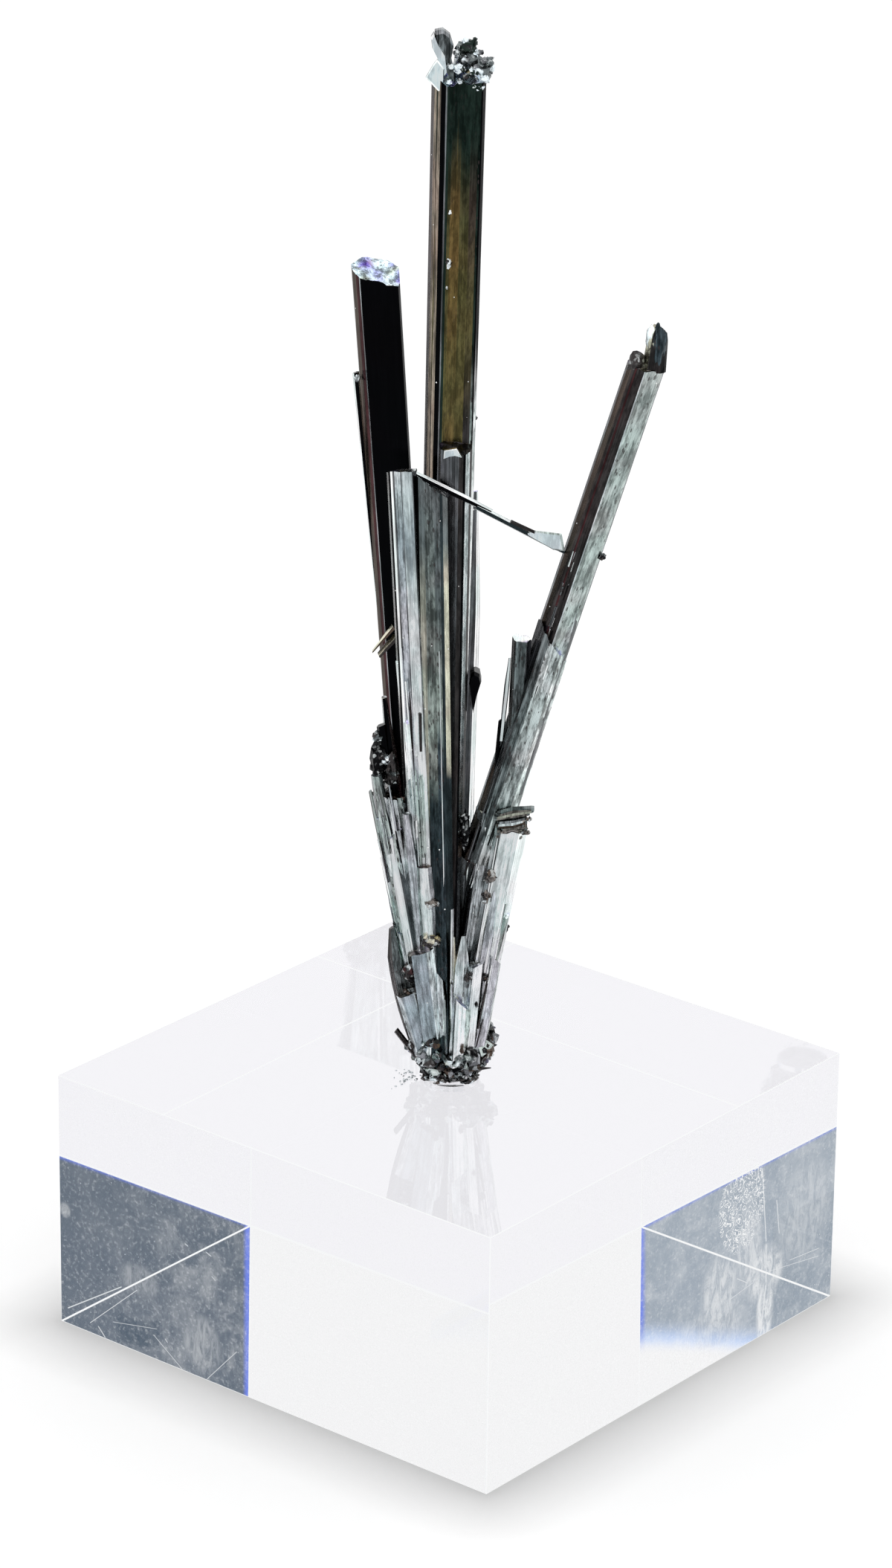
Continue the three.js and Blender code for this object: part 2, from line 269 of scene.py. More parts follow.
def make_world():
    """A white room. The block shows its darker corners, and the crystals a dark front and back."""
    world = bpy.data.worlds.new("studio")
    world.use_nodes = True
    n = Nodes(world.node_tree)
    n.tree.nodes.clear()
    direction = n.new("TexCoord").outputs["Generated"]
    side, front, height = (n.dot(direction, axis) for axis in (ACROSS, TOWARD, (0, 0, 1)))
    left, left_border = window(n, (side, front, height), *DARK_LEFT)
    right, right_border = window(n, (side, front, height), *DARK_RIGHT)
    through = n.mix(n.ramp(left, 0.0, 0.45), THROUGH_WHITE, THROUGH_BLUE)
    through = n.mix(n.ramp(left, 0.25, 1.0), through, LEFT_DARK)
    through = n.mix(right, through, RIGHT_DARK)
    through = n.mix(left_border, through, FRINGE)
    through = n.mix(right_border, through, FRINGE)

    low = n.ramp(height, 0.12, -0.10)
    mirrored = n.mix(n.mul(n.ramp(front, 0.30, 0.72), low), MIRRORED_WHITE, MIRRORED_FRONT)
    mirrored = n.mix(n.mul(n.ramp(front, -0.35, -0.80), low), mirrored, MIRRORED_BACK)

    rays = n.new("LightPath").outputs
    seen = n.mix(rays["Is Glossy Ray"], WHITE, mirrored)
    seen = n.mix(rays["Is Transmission Ray"], seen, through)
    seen = n.mix(rays["Is Camera Ray"], seen, WHITE)
    light = n.new("Background", {"Color": seen, "Strength": 1.0})
    n.new("OutputWorld", {0: light.outputs[0]})
    bpy.context.scene.world = world


# How far the table reaches, how far it lies under the block, and how far out from the block a
# shadow is painted on it.
FLOOR_REACH = 2.5
FLOOR_GAP = 0.02 * MM
PAINTED_SHADOW_REACH = 9.0 * MM
# The table's colour, the colour of the shadow painted on it beside the block, and its colour seen
# through the block.
TABLE, TABLE_PAINTED_SHADOW, UNSEEN = grey(0.78), grey(0.30), grey(0.0)
# How brightly the table glows of its own, the stronger painted light it gives off seen through the
# block, and that light's tint.
TABLE_GLOW, GLOW_INSIDE = 0.30, 0.95
GLOW_TINT = grey(1.0, (0.995, 0.990, 1.02))


def painted_contact_shadow(n):
    """A painted shadow: 1 on the open table, less close in beside the block."""
    outside = n.vector("SUBTRACT", n.vector("ABSOLUTE", n.place()), (SIDE / 2, SIDE / 2, 0))
    distance = n.vector("LENGTH", n.vector("MAXIMUM", outside, (0, 0, 0)), output="Value")
    return n.math("POWER", n.math("DIVIDE", distance, PAINTED_SHADOW_REACH, clamp=True), 0.55)


def make_floor():
    """A pale table with a little light of its own, so that only the softest shadow shows.

    Beside the block a shadow is painted on it. Seen through the block it only glows, with painted
    light.
    """
    mesh = bpy.data.meshes.new("floor")
    low, high = -FLOOR_REACH, FLOOR_REACH
    corners = [(low, low, 0), (high, low, 0), (high, high, 0), (low, high, 0)]
    mesh.from_pydata(corners, [], [(0, 1, 2, 3)])
    floor = placed("floor", mesh)
    floor.location.z = BLOCK_LOW.z - FLOOR_GAP
    material, n, shader = new_material("floor")
    inside = n.new("LightPath").outputs["Is Transmission Ray"]
    # A shadow painted round the block's foot.
    table = n.mix(painted_contact_shadow(n), TABLE_PAINTED_SHADOW, TABLE)
    n.set(shader, {
        "Base Color": n.mix(inside, table, UNSEEN),
        "Emission Color": n.mix(inside, WHITE, GLOW_TINT),
        "Emission Strength": n.line(inside, GLOW_INSIDE - TABLE_GLOW, TABLE_GLOW),
        "Roughness": 0.9,
        "Specular IOR Level": 0.0,
    })
    mesh.materials.append(material)
    floor.visible_glossy = False


make_camera()
make_world()
make_floor()
bpy.context.scene.view_settings.view_transform = "Standard"

# ---- the block

EDGE_ROUND = 0.07 * MM
FOOT_ROUND = 0.11 * MM
EDGE_BAND = 0.5 * MM
SOCKET_WIDTH = 5.0 * MM
SOCKET_DEEP = 1.5 * MM
ROUND_STEPS = 72


def rounded_slab():
    """The block's slab with its edges eased, those round the foot a little more."""
    form = bmesh.new()
    bmesh.ops.create_cube(form, size=1.0)
    bmesh.ops.scale(form, vec=BLOCK_HIGH - BLOCK_LOW, verts=form.verts)
    bmesh.ops.translate(form, vec=(BLOCK_LOW + BLOCK_HIGH) / 2, verts=form.verts)
    low = BLOCK_LOW.z + MM

    def ease(edges, offset):
        bmesh.ops.bevel(form, geom=edges, offset=offset, segments=2, profile=0.5, affect="EDGES")

    ease([e for e in form.edges if all(v.co.z < low for v in e.verts)], FOOT_ROUND)
    ease([e for e in form.edges if e.calc_length() > SIDE / 5
          and any(v.co.z > low for v in e.verts)], EDGE_ROUND)
    return new_mesh("slab", form)


def joined(name, first, others, operation="UNION"):
    """One closed mesh from first and the closed meshes in others."""
    group = bpy.data.collections.new(name)
    base = placed(name, first)
    bpy.context.scene.collection.children.link(group)
    for i, mesh in enumerate(others):
        group.objects.link(bpy.data.objects.new(f"{name}_{i}", mesh))
    solve = base.modifiers.new("join", "BOOLEAN")
    solve.operation = operation
    solve.operand_type = "COLLECTION"
    solve.collection = group
    solve.solver = "MANIFOLD"
    solve.material_mode = "TRANSFER"
    depsgraph = bpy.context.evaluated_depsgraph_get()
    mesh = bpy.data.meshes.new_from_object(base.evaluated_get(depsgraph))
    for scrap in [*group.objects, base]:
        bpy.data.objects.remove(scrap)
    bpy.data.collections.remove(group)
    return mesh


def make_piece(name, mesh, node=None):
    """A visual piece on the body, in place of a node of the CAD model if one is given."""
    piece = placed(name, mesh)
    if node:
        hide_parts(node)
    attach(piece, "root")


# Scratches on the two worn side faces: where they start and end, as millimetres along the faces
# from their outer corner and up from the bottom, and their width.
SCRATCHES = (
    ((11.5, 2.5), (15.1, 0.1), 0.1), ((18, 0.1), (21.7, 4.2), 0.09),
    ((6.5, 2.1), (12, 3.2), 0.07), ((0.8, 1.6), (7.7, 6.1), 0.16),
    ((3.6, 1), (9.6, 6.4), 0.1), ((4.6, 1.1), (5.6, 0.1), 0.16),
    ((12.9, 2.6), (13.3, 2.2), 0.12), ((17.9, 13), (18.7, 12.7), 0.14),
    ((15.4, 13), (15.9, 12.8), 0.14), ((18.6, 10.8), (19.2, 10.4), 0.12),
    ((94.8, 6.3), (99.5, 5.8), 0.1), ((91.4, 6.4), (99.5, 5), 0.08),
    ((85.7, 5.7), (89.3, 6.1), 0.09), ((86.7, 7.5), (88.4, 6.4), 0.12),
    ((90.1, 17.5), (91.1, 9.5), 0.2), ((91.1, 9.5), (91.3, 5.3), 0.26),
    ((91.3, 5.3), (90.7, 0.1), 0.3), ((92.5, 13.4), (93.1, 9.6), 0.16),
)

# Cloudy patches, in the same millimetres: their middle, half width, half height and strength.
CLOUDS = (
    (90.9, 6.5, 3.9, 3.4, 0.5), (84.2, 6.9, 3.4, 5.4, 0.42), (91.2, 3, 1.6, 6, 0.55),
    (82, 3, 8, 3.8, 0.32), (97, 10.6, 5.4, 6.6, 0.26), (88.5, 10, 2.4, 4.6, 0.4),
    (17.4, 3.4, 2.8, 3.6, 0.26), (0.7, 11.6, 0.8, 0.9, 0.3), (9.8, 7.4, 3, 2, 0.2),
)
# The middle and the reach of the etched patch, and how near a face a point counts as on it.
ETCHED = (87.2, 14.7, 4.0, 5.4)
ON_FACE = 0.1 * MM


def hairline(n, point, start, end, width):
    """1 on a scratch between two places on the side faces."""
    way = (Vector((*end, 0)) - Vector((*start, 0))) * MM
    start, width = Vector((*start, 0)) * MM, width * MM
    half, way = way.length / 2, way.normalized()
    over = Vector((-way.y, way.x, 0))
    off = n.size(n.sub(n.dot(point, over), start.dot(over)))
    run = n.size(n.sub(n.dot(point, way), start.dot(way) + half))
    return n.mul(n.ramp(off, 0.5 * width, 0.15 * width), n.ramp(run, half, half - width))


def oval(n, point, middle, height, reach, rise):
    """1 in the middle of an oval on the side faces, fading to 0 at its rim."""
    spot = n.scaled(point, (1000 / reach, 1000 / rise, 0.0), (-middle / reach, -height / rise, 0.0))
    return n.ramp(n.dot(spot, spot), 1.0, 0.2)


def worn_sides(n, place):
    """How much haze, grit and scratching covers a point on the side faces. The block shows it as a
    painted glow.
    """
    x, y, z = n.split(place)
    along = n.add(n.sub(x, BLOCK_LOW.x), n.sub(y, BLOCK_LOW.y))
    point = n.joined(along, n.sub(z, BLOCK_LOW.z))
    blotch = n.ramp(n.noise(place, 300.0, 8.0, 0.72, 0.6), 0.38, 0.70, 0.0, 0.26)
    # The haze, and with it its painted glow, thins towards the faces' outer corner.
    blotch = n.mul(blotch, n.ramp(along, 0.0, 20 * MM, 0.10, 1.0))
    haze = n.add(blotch, n.ramp(n.noise(place, 2200.0, 5.0, 0.75), 0.49, 0.70, 0.0, 0.27))
    haze = n.most(haze, n.ramp(n.cells(place, 900.0)["Distance"], 0.07, 0.03, 0.0, 0.6))
    wisps = n.noise(n.scaled(place, (1100.0, 1100.0, 420.0)), 1.0, 7.0, 0.8, 0.9)
    for *shape, strength in CLOUDS:
        cloud = n.ramp(wisps, 0.36, 0.62, 0.25 * strength, 1.5 * strength)
        haze = n.most(haze, n.mul(cloud, oval(n, point, *shape)))
    for scratch in SCRATCHES:
        haze = n.most(haze, n.mul(hairline(n, point, *scratch), 0.75))

    curls = n.size(n.sub(n.noise(place, 850.0, 2.0, 0.5, 2.6), 0.5))
    etched = n.mul(n.ramp(oval(n, point, *ETCHED), 0.0, 0.4), n.ramp(curls, 0.045, 0.018))
    on_sides = n.most(n.math("LESS_THAN", y, BLOCK_LOW.y + ON_FACE),
                      n.math("GREATER_THAN", x, BLOCK_HIGH.x - ON_FACE))
    return n.math("MULTIPLY", n.most(haze, etched), on_sides, clamp=True)


def ground_edges(n, place):
    """1 on the eased edges, 0 on the flat faces and in the socket."""
    x, y, z = (n.size(part) for part in n.split(n.new("NewGeometry").outputs["True Normal"]))
    tilted = n.math("LESS_THAN", n.most(n.most(x, y), z), 0.995)
    x, y, _ = n.split(place)
    out = n.most(n.size(x), n.size(y))
    return n.mul(tilted, n.math("GREATER_THAN", out, SIDE / 2 - EDGE_BAND))


def acrylic_material():
    """Clear cast acrylic. Its ground edges and worn patches glow with painted light, standing in
    for the white room's light that they scatter; the edges glow a little brighter, a painted
    highlight.
    """
    material, n, shader = new_material("acrylic")
    n.set(shader, {
        "Base Color": grey(0.93, (1.0, 1.0, 1.01)), "Roughness": 0.0, "IOR": 1.49,
        "Transmission Weight": 1.0,
    })
    place = n.place()
    ground = ground_edges(n, place)
    # Painted light: the worn patches and, a little brighter, the ground edges glow near-white of
    # their own.
    painted_glow_inputs = {"Color": grey(1.0, (0.985, 0.995, 1.0)), "Strength": n.line(ground, 0.045, 0.915)}
    painted_glow = n.new("Emission", painted_glow_inputs)
    glow_cover = n.most(worn_sides(n, place), ground)
    blend = n.new("MixShader", {0: glow_cover, 1: shader.outputs[0], 2: painted_glow.outputs[0]})
    n.set(n.tree.nodes["Material Output"], {"Surface": blend.outputs[0]})
    return material


def make_block():
    """The slab with its round socket."""
    form = bmesh.new()
    bmesh.ops.create_cone(
        form, cap_ends=True, segments=ROUND_STEPS, radius1=SOCKET_WIDTH / 2,
        radius2=SOCKET_WIDTH / 2, depth=2 * SOCKET_DEEP, matrix=Matrix.Translation(SOCKET),
    )
    mesh = joined("block", rounded_slab(), [new_mesh("drill", form)], "DIFFERENCE")
    mesh.materials.clear()
    mesh.materials.append(acrylic_material())
    make_piece("display_block", mesh, "acrylic_block")


make_block()

# ---- finishes of the crystals

# tint is the metal's colour, rough its roughness, and mottle and streak how much the clouds and
# the lines along the crystal darken it. The tints also hold painted light: facet by facet they are
# made lighter or darker for how each facet catches the light, the near-white ones are painted
# highlights and the near-black ones painted dark reflections.
Finish = namedtuple("Finish", "tint rough mottle streak")

# Near black, a painted dark reflection.
PAINTED_BLACK = Finish((0.0035, 0.0035, 0.0042), 0.1, 0.1, 0.1)
COAL = Finish((0.045, 0.04, 0.04), 0.2, 0.6, 0.5)
GREEN_BLACK = Finish((0.015, 0.026, 0.021), 0.2, 0.35, 0.4)
OLIVE = Finish((0.122, 0.104, 0.042), 0.24, 0.6, 0.4)
UMBER = Finish((0.185, 0.122, 0.045), 0.24, 0.6, 0.4)
DARK_RED = Finish((0.052, 0.02, 0.022), 0.2, 0.45, 0.5)
BROWN = Finish((0.078, 0.056, 0.044), 0.22, 0.4, 0.5)
SLATE = Finish((0.145, 0.165, 0.17), 0.24, 1, 0.7)
DUSK = Finish((0.05, 0.068, 0.08), 0.22, 0.8, 0.6)
INK = Finish((0.028, 0.039, 0.044), 0.2, 0.6, 0.6)
TAUPE = Finish((0.24, 0.195, 0.16), 0.2, 0.5, 0.8)
STEEL = Finish((0.14, 0.145, 0.155), 0.2, 0.4, 0.8)
GREY = Finish((0.3, 0.31, 0.33), 0.22, 0.5, 0.9)
LEAD = Finish((0.53, 0.57, 0.59), 0.24, 0.8, 0.6)
SILVER = Finish((0.73, 0.79, 0.81), 0.24, 0.6, 0.55)
# Near white, a painted highlight; thin facets of it paint the light lines along edges.
PAINTED_HIGHLIGHT = Finish((0.92, 0.95, 0.96), 0.2, 0.2, 0.3)
LAVENDER = Finish((0.64, 0.66, 0.71), 0.24, 0.65, 0.55)
CREAM = Finish((0.6, 0.57, 0.46), 0.24, 0.45, 0.3)
GREEN_GREY = Finish((0.53, 0.6, 0.58), 0.22, 0.8, 0.5)
BREAK = Finish((0.66, 0.78, 0.86), 0.26, 1, 0)
DARK_BREAK = Finish((0.2, 0.18, 0.165), 0.26, 1, 0)
# Near white with a blue cast, a painted highlight.
PAINTED_BLUE_HIGHLIGHT = Finish((0.94, 0.99, 1), 0.22, 0.4, 0.35)
BLUE_GREY = Finish((0.35, 0.4, 0.44), 0.24, 0.55, 0.4)
SAGE = Finish((0.46, 0.515, 0.5), 0.24, 0.75, 0.3)
HOAR = Finish((0.58, 0.62, 0.62), 0.24, 0.95, 0.4)
MOSS = Finish((0.33, 0.37, 0.34), 0.22, 0.85, 0.6)
TAN = Finish((0.46, 0.45, 0.38), 0.22, 0.45, 0.5)
BRASS = Finish((0.42, 0.36, 0.2), 0.2, 0.6, 0)
# Near white and icy, a painted highlight.
PAINTED_ICE_HIGHLIGHT = Finish((0.85, 0.93, 0.97), 0.18, 0.3, 0)
ROOT = Finish((0.1, 0.1, 0.1), 0.4, 0.5, 0)

# ---- closed crystal meshes


def paint_tint(mesh, tints):
    """Store a tint for every corner of the mesh's faces."""
    tint = mesh.attributes.new("tint", "FLOAT_COLOR", "CORNER")
    tint.data.foreach_set("color", [c for t in tints for c in (*t, 1.0)])


class Build:
    """The points, faces and paint of one closed mesh."""

    def __init__(self):
        self.points = []
        self.faces = []
        self.grain = []
        self.tints = []
        self.finishes = []
        self.rounded = []

    def ring(self, points):
        """Add points, and say where the first of them is."""
        self.points.extend(points)
        return len(self.points) - len(points)

    def face(self, corners, grain, tints, finish, rounded=False):
        self.faces.append(corners)
        self.grain.extend(grain)
        self.tints.extend(tints)
        self.finishes.extend([finish] * len(corners))
        self.rounded.append(rounded)

    def mesh(self, material):
        mesh = bpy.data.meshes.new("solid")
        mesh.from_pydata([tuple(p) for p in self.points], [], self.faces)
        mesh.materials.append(material)
        grain = mesh.uv_layers.new(name="grain")
        grain.data.foreach_set("uv", [c for uv in self.grain for c in uv])
        paint_tint(mesh, self.tints)
        surface = mesh.attributes.new("surface", "FLOAT_VECTOR", "CORNER")
        surface.data.foreach_set("vector", [c for f in self.finishes for c in f[1:]])
        mesh.polygons.foreach_set("use_smooth", self.rounded)
        return mesh


def axes_of(foot, tip, turn=0.0):
    """The across, back and along directions of a crystal that runs from foot to tip."""
    along = (tip - foot).normalized()
    lead = Vector((1, 0, 0)) if abs(along.x) < 0.8 else Vector((0, 0, 1))
    across = (lead - along * lead.dot(along)).normalized()
    spin = Matrix.Rotation(math.radians(turn), 3, along)
    return spin @ across, spin @ along.cross(across), along


def prism_section(width, depth, front, sides=GREY, back=SLATE):
    """A seven-sided section, from its left edge round the front and back again.

    front has the finishes of the left, middle and right facets on the near side.
    """
    half, deep = width / 2, depth / 2
    left, middle, right = front
    return [
        (-half, 0.15 * deep, left), (-0.6 * half, -deep, middle), (0.5 * half, -0.95 * deep, right),
        (half, -0.15 * deep, sides), (0.85 * half, 0.55 * deep, back), (0.2 * half, deep, sides),
        (-0.7 * half, 0.8 * deep, back),
    ]


# A narrow strip of a crystal's outline: where it starts, which way it faces, its finish, how far
# round the outline it is, and how much of the crystal's relief it takes.
Strip = namedtuple("Strip", "x y out_x out_y finish start weight")
STRIP_WIDTHS = (0.35, 0.6, 1.0, 1.4, 1.9)
EDGE_WEIGHT = 0.25


def strips(section, width, rng):
    """The section's outline cut into strips of about this width."""
    outline = []
    run = 0.0
    for i, (x0, y0, finish) in enumerate(section):
        x1, y1, _ = section[(i + 1) % len(section)]
        length = math.hypot(x1 - x0, y1 - y0)
        out = ((y1 - y0) / length, (x0 - x1) / length)
        marks = [0.0]
        while marks[-1] < length - 0.6 * width:
            marks.append(marks[-1] + width * rng.choice(STRIP_WIDTHS))
        for mark in marks[:-1] or [0.0]:
            t = mark / length
            weight = EDGE_WEIGHT if mark == 0.0 else 1.0
            place = (x0 + (x1 - x0) * t, y0 + (y1 - y0) * t)
            outline.append(Strip(*place, *out, finish, run + mark, weight))
        run += length
    return outline


def groove(column, along, seed):
    """How far a strip stands out: it drifts slowly and steps where a stria begins or ends."""
    drift = noise.noise((column * 2.17 + seed * 9.1, along * 0.045, seed * 1.7))
    step = round(3 * noise.noise((column * 1.31 + seed * 5.3, along * 0.10, 7.7))) / 3
    return 0.7 * drift + 0.7 * step


def banded(stops, share):
    """The tint at a share of the length, from (share, finish) stops in order."""
    for (low, first), (high, second) in zip(stops, stops[1:]):
        if share < high:
            t = min(1.0, max(0.0, (share - low) / (high - low)))
            return tuple(a + (b - a) * t for a, b in zip(first.tint, second.tint))
    return stops[-1][1].tint


def crystal(foot, tip, section, turn=0.0, narrow=0.85, cut=(0.0, 0.0), jag=0.15, relief=0.03,
            step=1.4, bend=0.0, strip=0.28, taper=0.0, bands=None, end=GREY, seed=1):
    """A striated prism from its foot to its broken tip.

    narrow is the foot's width over the tip's, cut the slope of the broken end across and front
    to back, jag how rough that end is, relief how deep the striation, and taper how much the last
    fifth draws in. bands says how a finish changes along the crystal: {finish: ((share of the
    length, finish there), ...)}.
    """
    foot, tip = Vector(foot), Vector(tip)
    across, back, along = axes_of(foot, tip, turn)
    length = (tip - foot).length
    outline = strips(section, strip, random.Random(seed))
    count = len(outline)
    rows = max(1, round(length / step))
    build = Build()

    def lift(x, y):
        """How far the broken end stands out."""
        rough = noise.noise((x * 1.1 + seed, y * 1.1, seed * 0.7))
        fine = noise.noise((x * 2.6, y * 2.6 + seed, 4.4))
        return cut[0] * x + cut[1] * y + jag * (1.4 * rough + 0.5 * fine)

    for row in range(rows + 1):
        share = row / rows
        grow = narrow + (1 - narrow) * share
        grow *= 1 - taper * max(0.0, (share - 0.8) / 0.2)
        bow = bend * math.sin(math.pi * share)
        for column, spot in enumerate(outline):
            stand = relief * spot.weight * groove(column, share * length, seed)
            x = (spot.x + spot.out_x * stand) * grow
            y = (spot.y + spot.out_y * stand) * grow
            reach = share * (length + lift(x, y))
            build.points.append(foot + across * (x + bow) + back * y + along * reach)

    for row in range(rows):
        low, high = row / rows, (row + 1) / rows
        v0, v1 = low * length, high * length
        for column, spot in enumerate(outline):
            after = (column + 1) % count
            u0 = spot.start + seed * 13.0
            u1 = u0 + max(0.02, (outline[after].start - spot.start) if after else strip)
            a, b = row * count + column, row * count + after
            below = above = spot.finish.tint
            if bands and spot.finish in bands:
                stray = 0.03 * noise.noise((column * 3.3, seed, 1.5))
                below, above = (banded(bands[spot.finish], s + stray) for s in (low, high))
            build.face(
                (a, b, b + count, a + count), ((u0, v0), (u1, v0), (u1, v1), (u0, v1)),
                (below, below, above, above), spot.finish,
            )
    build.face(tuple(reversed(range(count))), [(seed, seed)] * count, [ROOT.tint] * count, ROOT)
    close_tip(build, rows * count, (foot, across, back, along, length), lift, end, seed)
    return build.mesh(STIBNITE)


def patchy(tint, x, y, seed):
    """A broken end's tint, drifting to violet and to tan in patches."""
    violet = max(0.0, noise.noise((x * 1.0 + 3.0, y * 1.0, seed * 1.3)) - 0.05)
    tan = max(0.0, noise.noise((x * 1.1, y * 1.1 + 8.0, seed * 0.9)) - 0.15)
    shift = (
        1 - 0.9 * violet - 0.2 * tan, 1 - 1.1 * violet - 0.4 * tan, 1 - 0.2 * violet - 0.9 * tan,
    )
    return tuple(max(0.02, a * b) for a, b in zip(tint, shift))


FINE_RINGS = (0.97, 0.86, 0.70, 0.54, 0.38, 0.22)
COARSE_RINGS = (0.9, 0.5)


def close_tip(build, start, axes, lift, finish, seed):
    """A hummocky broken end: rings that shrink towards the middle of the crystal.

    The crystal's last ring begins at point start. axes has its foot, directions and length.
    """
    foot, across, back, along, length = axes
    rim = build.points[start:]
    count = len(rim)
    flat = [((p - foot).dot(across), (p - foot).dot(back)) for p in rim]
    mid_x = sum(x for x, _ in flat) / count
    mid_y = sum(y for _, y in flat) / count

    def on_end(scale):
        made = []
        for x, y in flat:
            x, y = mid_x + (x - mid_x) * scale, mid_y + (y - mid_y) * scale
            made.append(foot + across * x + back * y + along * (length + lift(x, y)))
        return made

    rings = [start, *(build.ring(on_end(s)) for s in (FINE_RINGS if count > 30 else COARSE_RINGS))]
    middle = build.ring(on_end(0.0)[:1])

    def close(corners, rounded):
        places = [build.points[c] - foot for c in corners]
        flat = [(p.dot(across), p.dot(back)) for p in places]
        build.face(corners, [(seed * 3.0 + x, 3.6 * y) for x, y in flat],
                   [patchy(finish.tint, x, y, seed) for x, y in flat], finish, rounded)

    around = [(i, (i + 1) % count) for i in range(count)]
    for low, high in zip(rings, rings[1:]):
        for i, j in around:
            close((low + i, low + j, high + j, high + i), low != start)
    for i, j in around:
        close((rings[-1] + i, rings[-1] + j, middle), True)


def lath(foot, tip, width, depth, finish, turn=0.0, narrow=0.8, taper=0.3, cut=(0.3, 0.0), seed=1,
         side=None):
    """A thin splinter with a few facets."""
    dull = side or finish
    half, deep = width / 2, depth / 2
    section = [
        (-half, 0.0, dull), (-0.5 * half, -deep, finish), (0.6 * half, -0.9 * deep, dull),
        (half, 0.0, dull), (0.4 * half, deep, finish), (-0.6 * half, deep, dull),
    ]
    return crystal(foot, tip, section, turn, narrow, cut, jag=0.06, relief=0.012, step=2.4,
                   strip=9.0, taper=taper, end=finish, seed=seed)


def lump(centre, size, finish, seed, squash=(1.0, 1.0, 1.0), detail=2, rough=0.35, polished=False):
    """A closed lump: angular and crusty, or smooth if it is polished."""
    form = bmesh.new()
    bmesh.ops.create_icosphere(form, subdivisions=detail, radius=1.0)
    build = Build()
    for vert in form.verts:
        swell = 1 + rough * noise.noise(vert.co * 1.6 + Vector((seed * 3.1, seed, 0)))
        swell += 0.5 * rough * noise.noise(vert.co * 4.1 + Vector((seed, seed * 2.3, 5)))
        place = Vector(c * s for c, s in zip(vert.co * swell, squash)) * size
        build.points.append(Vector(centre) + place)
    for face in form.faces:
        corners = tuple(v.index for v in face.verts)
        grain = [(build.points[c].x, build.points[c].z) for c in corners]
        build.face(corners, grain, [finish.tint] * 3, finish, polished)
    form.free()
    return build.mesh(STIBNITE if polished else CRUST)


def slab(outline, y, thick, finish, side, seed=1, lean=0.0):
    """A flat chip with this outline of (x, z) points, its rim bevelled on both sides.

    Its near face is at y; lean is how far its points move back for each millimetre of height.
    """
    build = Build()
    count = len(outline)
    mid_x = sum(x for x, _ in outline) / count
    mid_z = sum(z for _, z in outline) / count
    for depth, scale in ((0.0, 0.86), (0.2 * thick, 1.0), (0.8 * thick, 1.0), (thick, 0.86)):
        build.ring([
            Vector((mid_x + (x - mid_x) * scale, y + depth + lean * (z - mid_z),
                    mid_z + (z - mid_z) * scale))
            for x, z in outline
        ])
    turned = sum(
        x0 * z1 - x1 * z0 for (x0, z0), (x1, z1) in zip(outline, outline[1:] + outline[:1])
    ) < 0

    def add(corners, paint):
        if turned:
            corners = tuple(reversed(corners))
        grain = [(build.points[c].x + seed, build.points[c].z) for c in corners]
        build.face(corners, grain, [paint.tint] * len(corners), paint)

    add(tuple(range(count)), finish)
    add(tuple(reversed(range(3 * count, 4 * count))), side)
    for low in (0, count, 2 * count):
        for i in range(count):
            j = (i + 1) % count
            add((low + j, low + i, low + count + i, low + count + j), side)
    return build.mesh(STIBNITE)


# ---- materials of the crystals

COOL = (0.94, 1.0, 0.98, 1.0)
WARM = (1.0, 0.965, 0.96, 1.0)
PIT = (0.050, 0.040, 0.040, 1.0)
SPECK = (0.85, 0.87, 0.86, 1.0)
# A painted glint on some grains of the crust, and painted black shade in patches.
PAINTED_GLINT = (0.72, 0.76, 0.76, 1.0)
PAINTED_BLACK_SHADE = (0.018, 0.018, 0.02, 1.0)


def dust(n, place, scale, share, largest):
    """Specks: 1 on the specks, 0 elsewhere. share of the cells have one, up to largest wide."""
    cells = n.cells(place, scale)
    pick = n.new("SeparateColor", {0: cells["Color"]}).outputs[0]
    return n.math("LESS_THAN", cells["Distance"], n.mul(n.ramp(pick, 1.0 - share, 1.0), largest))


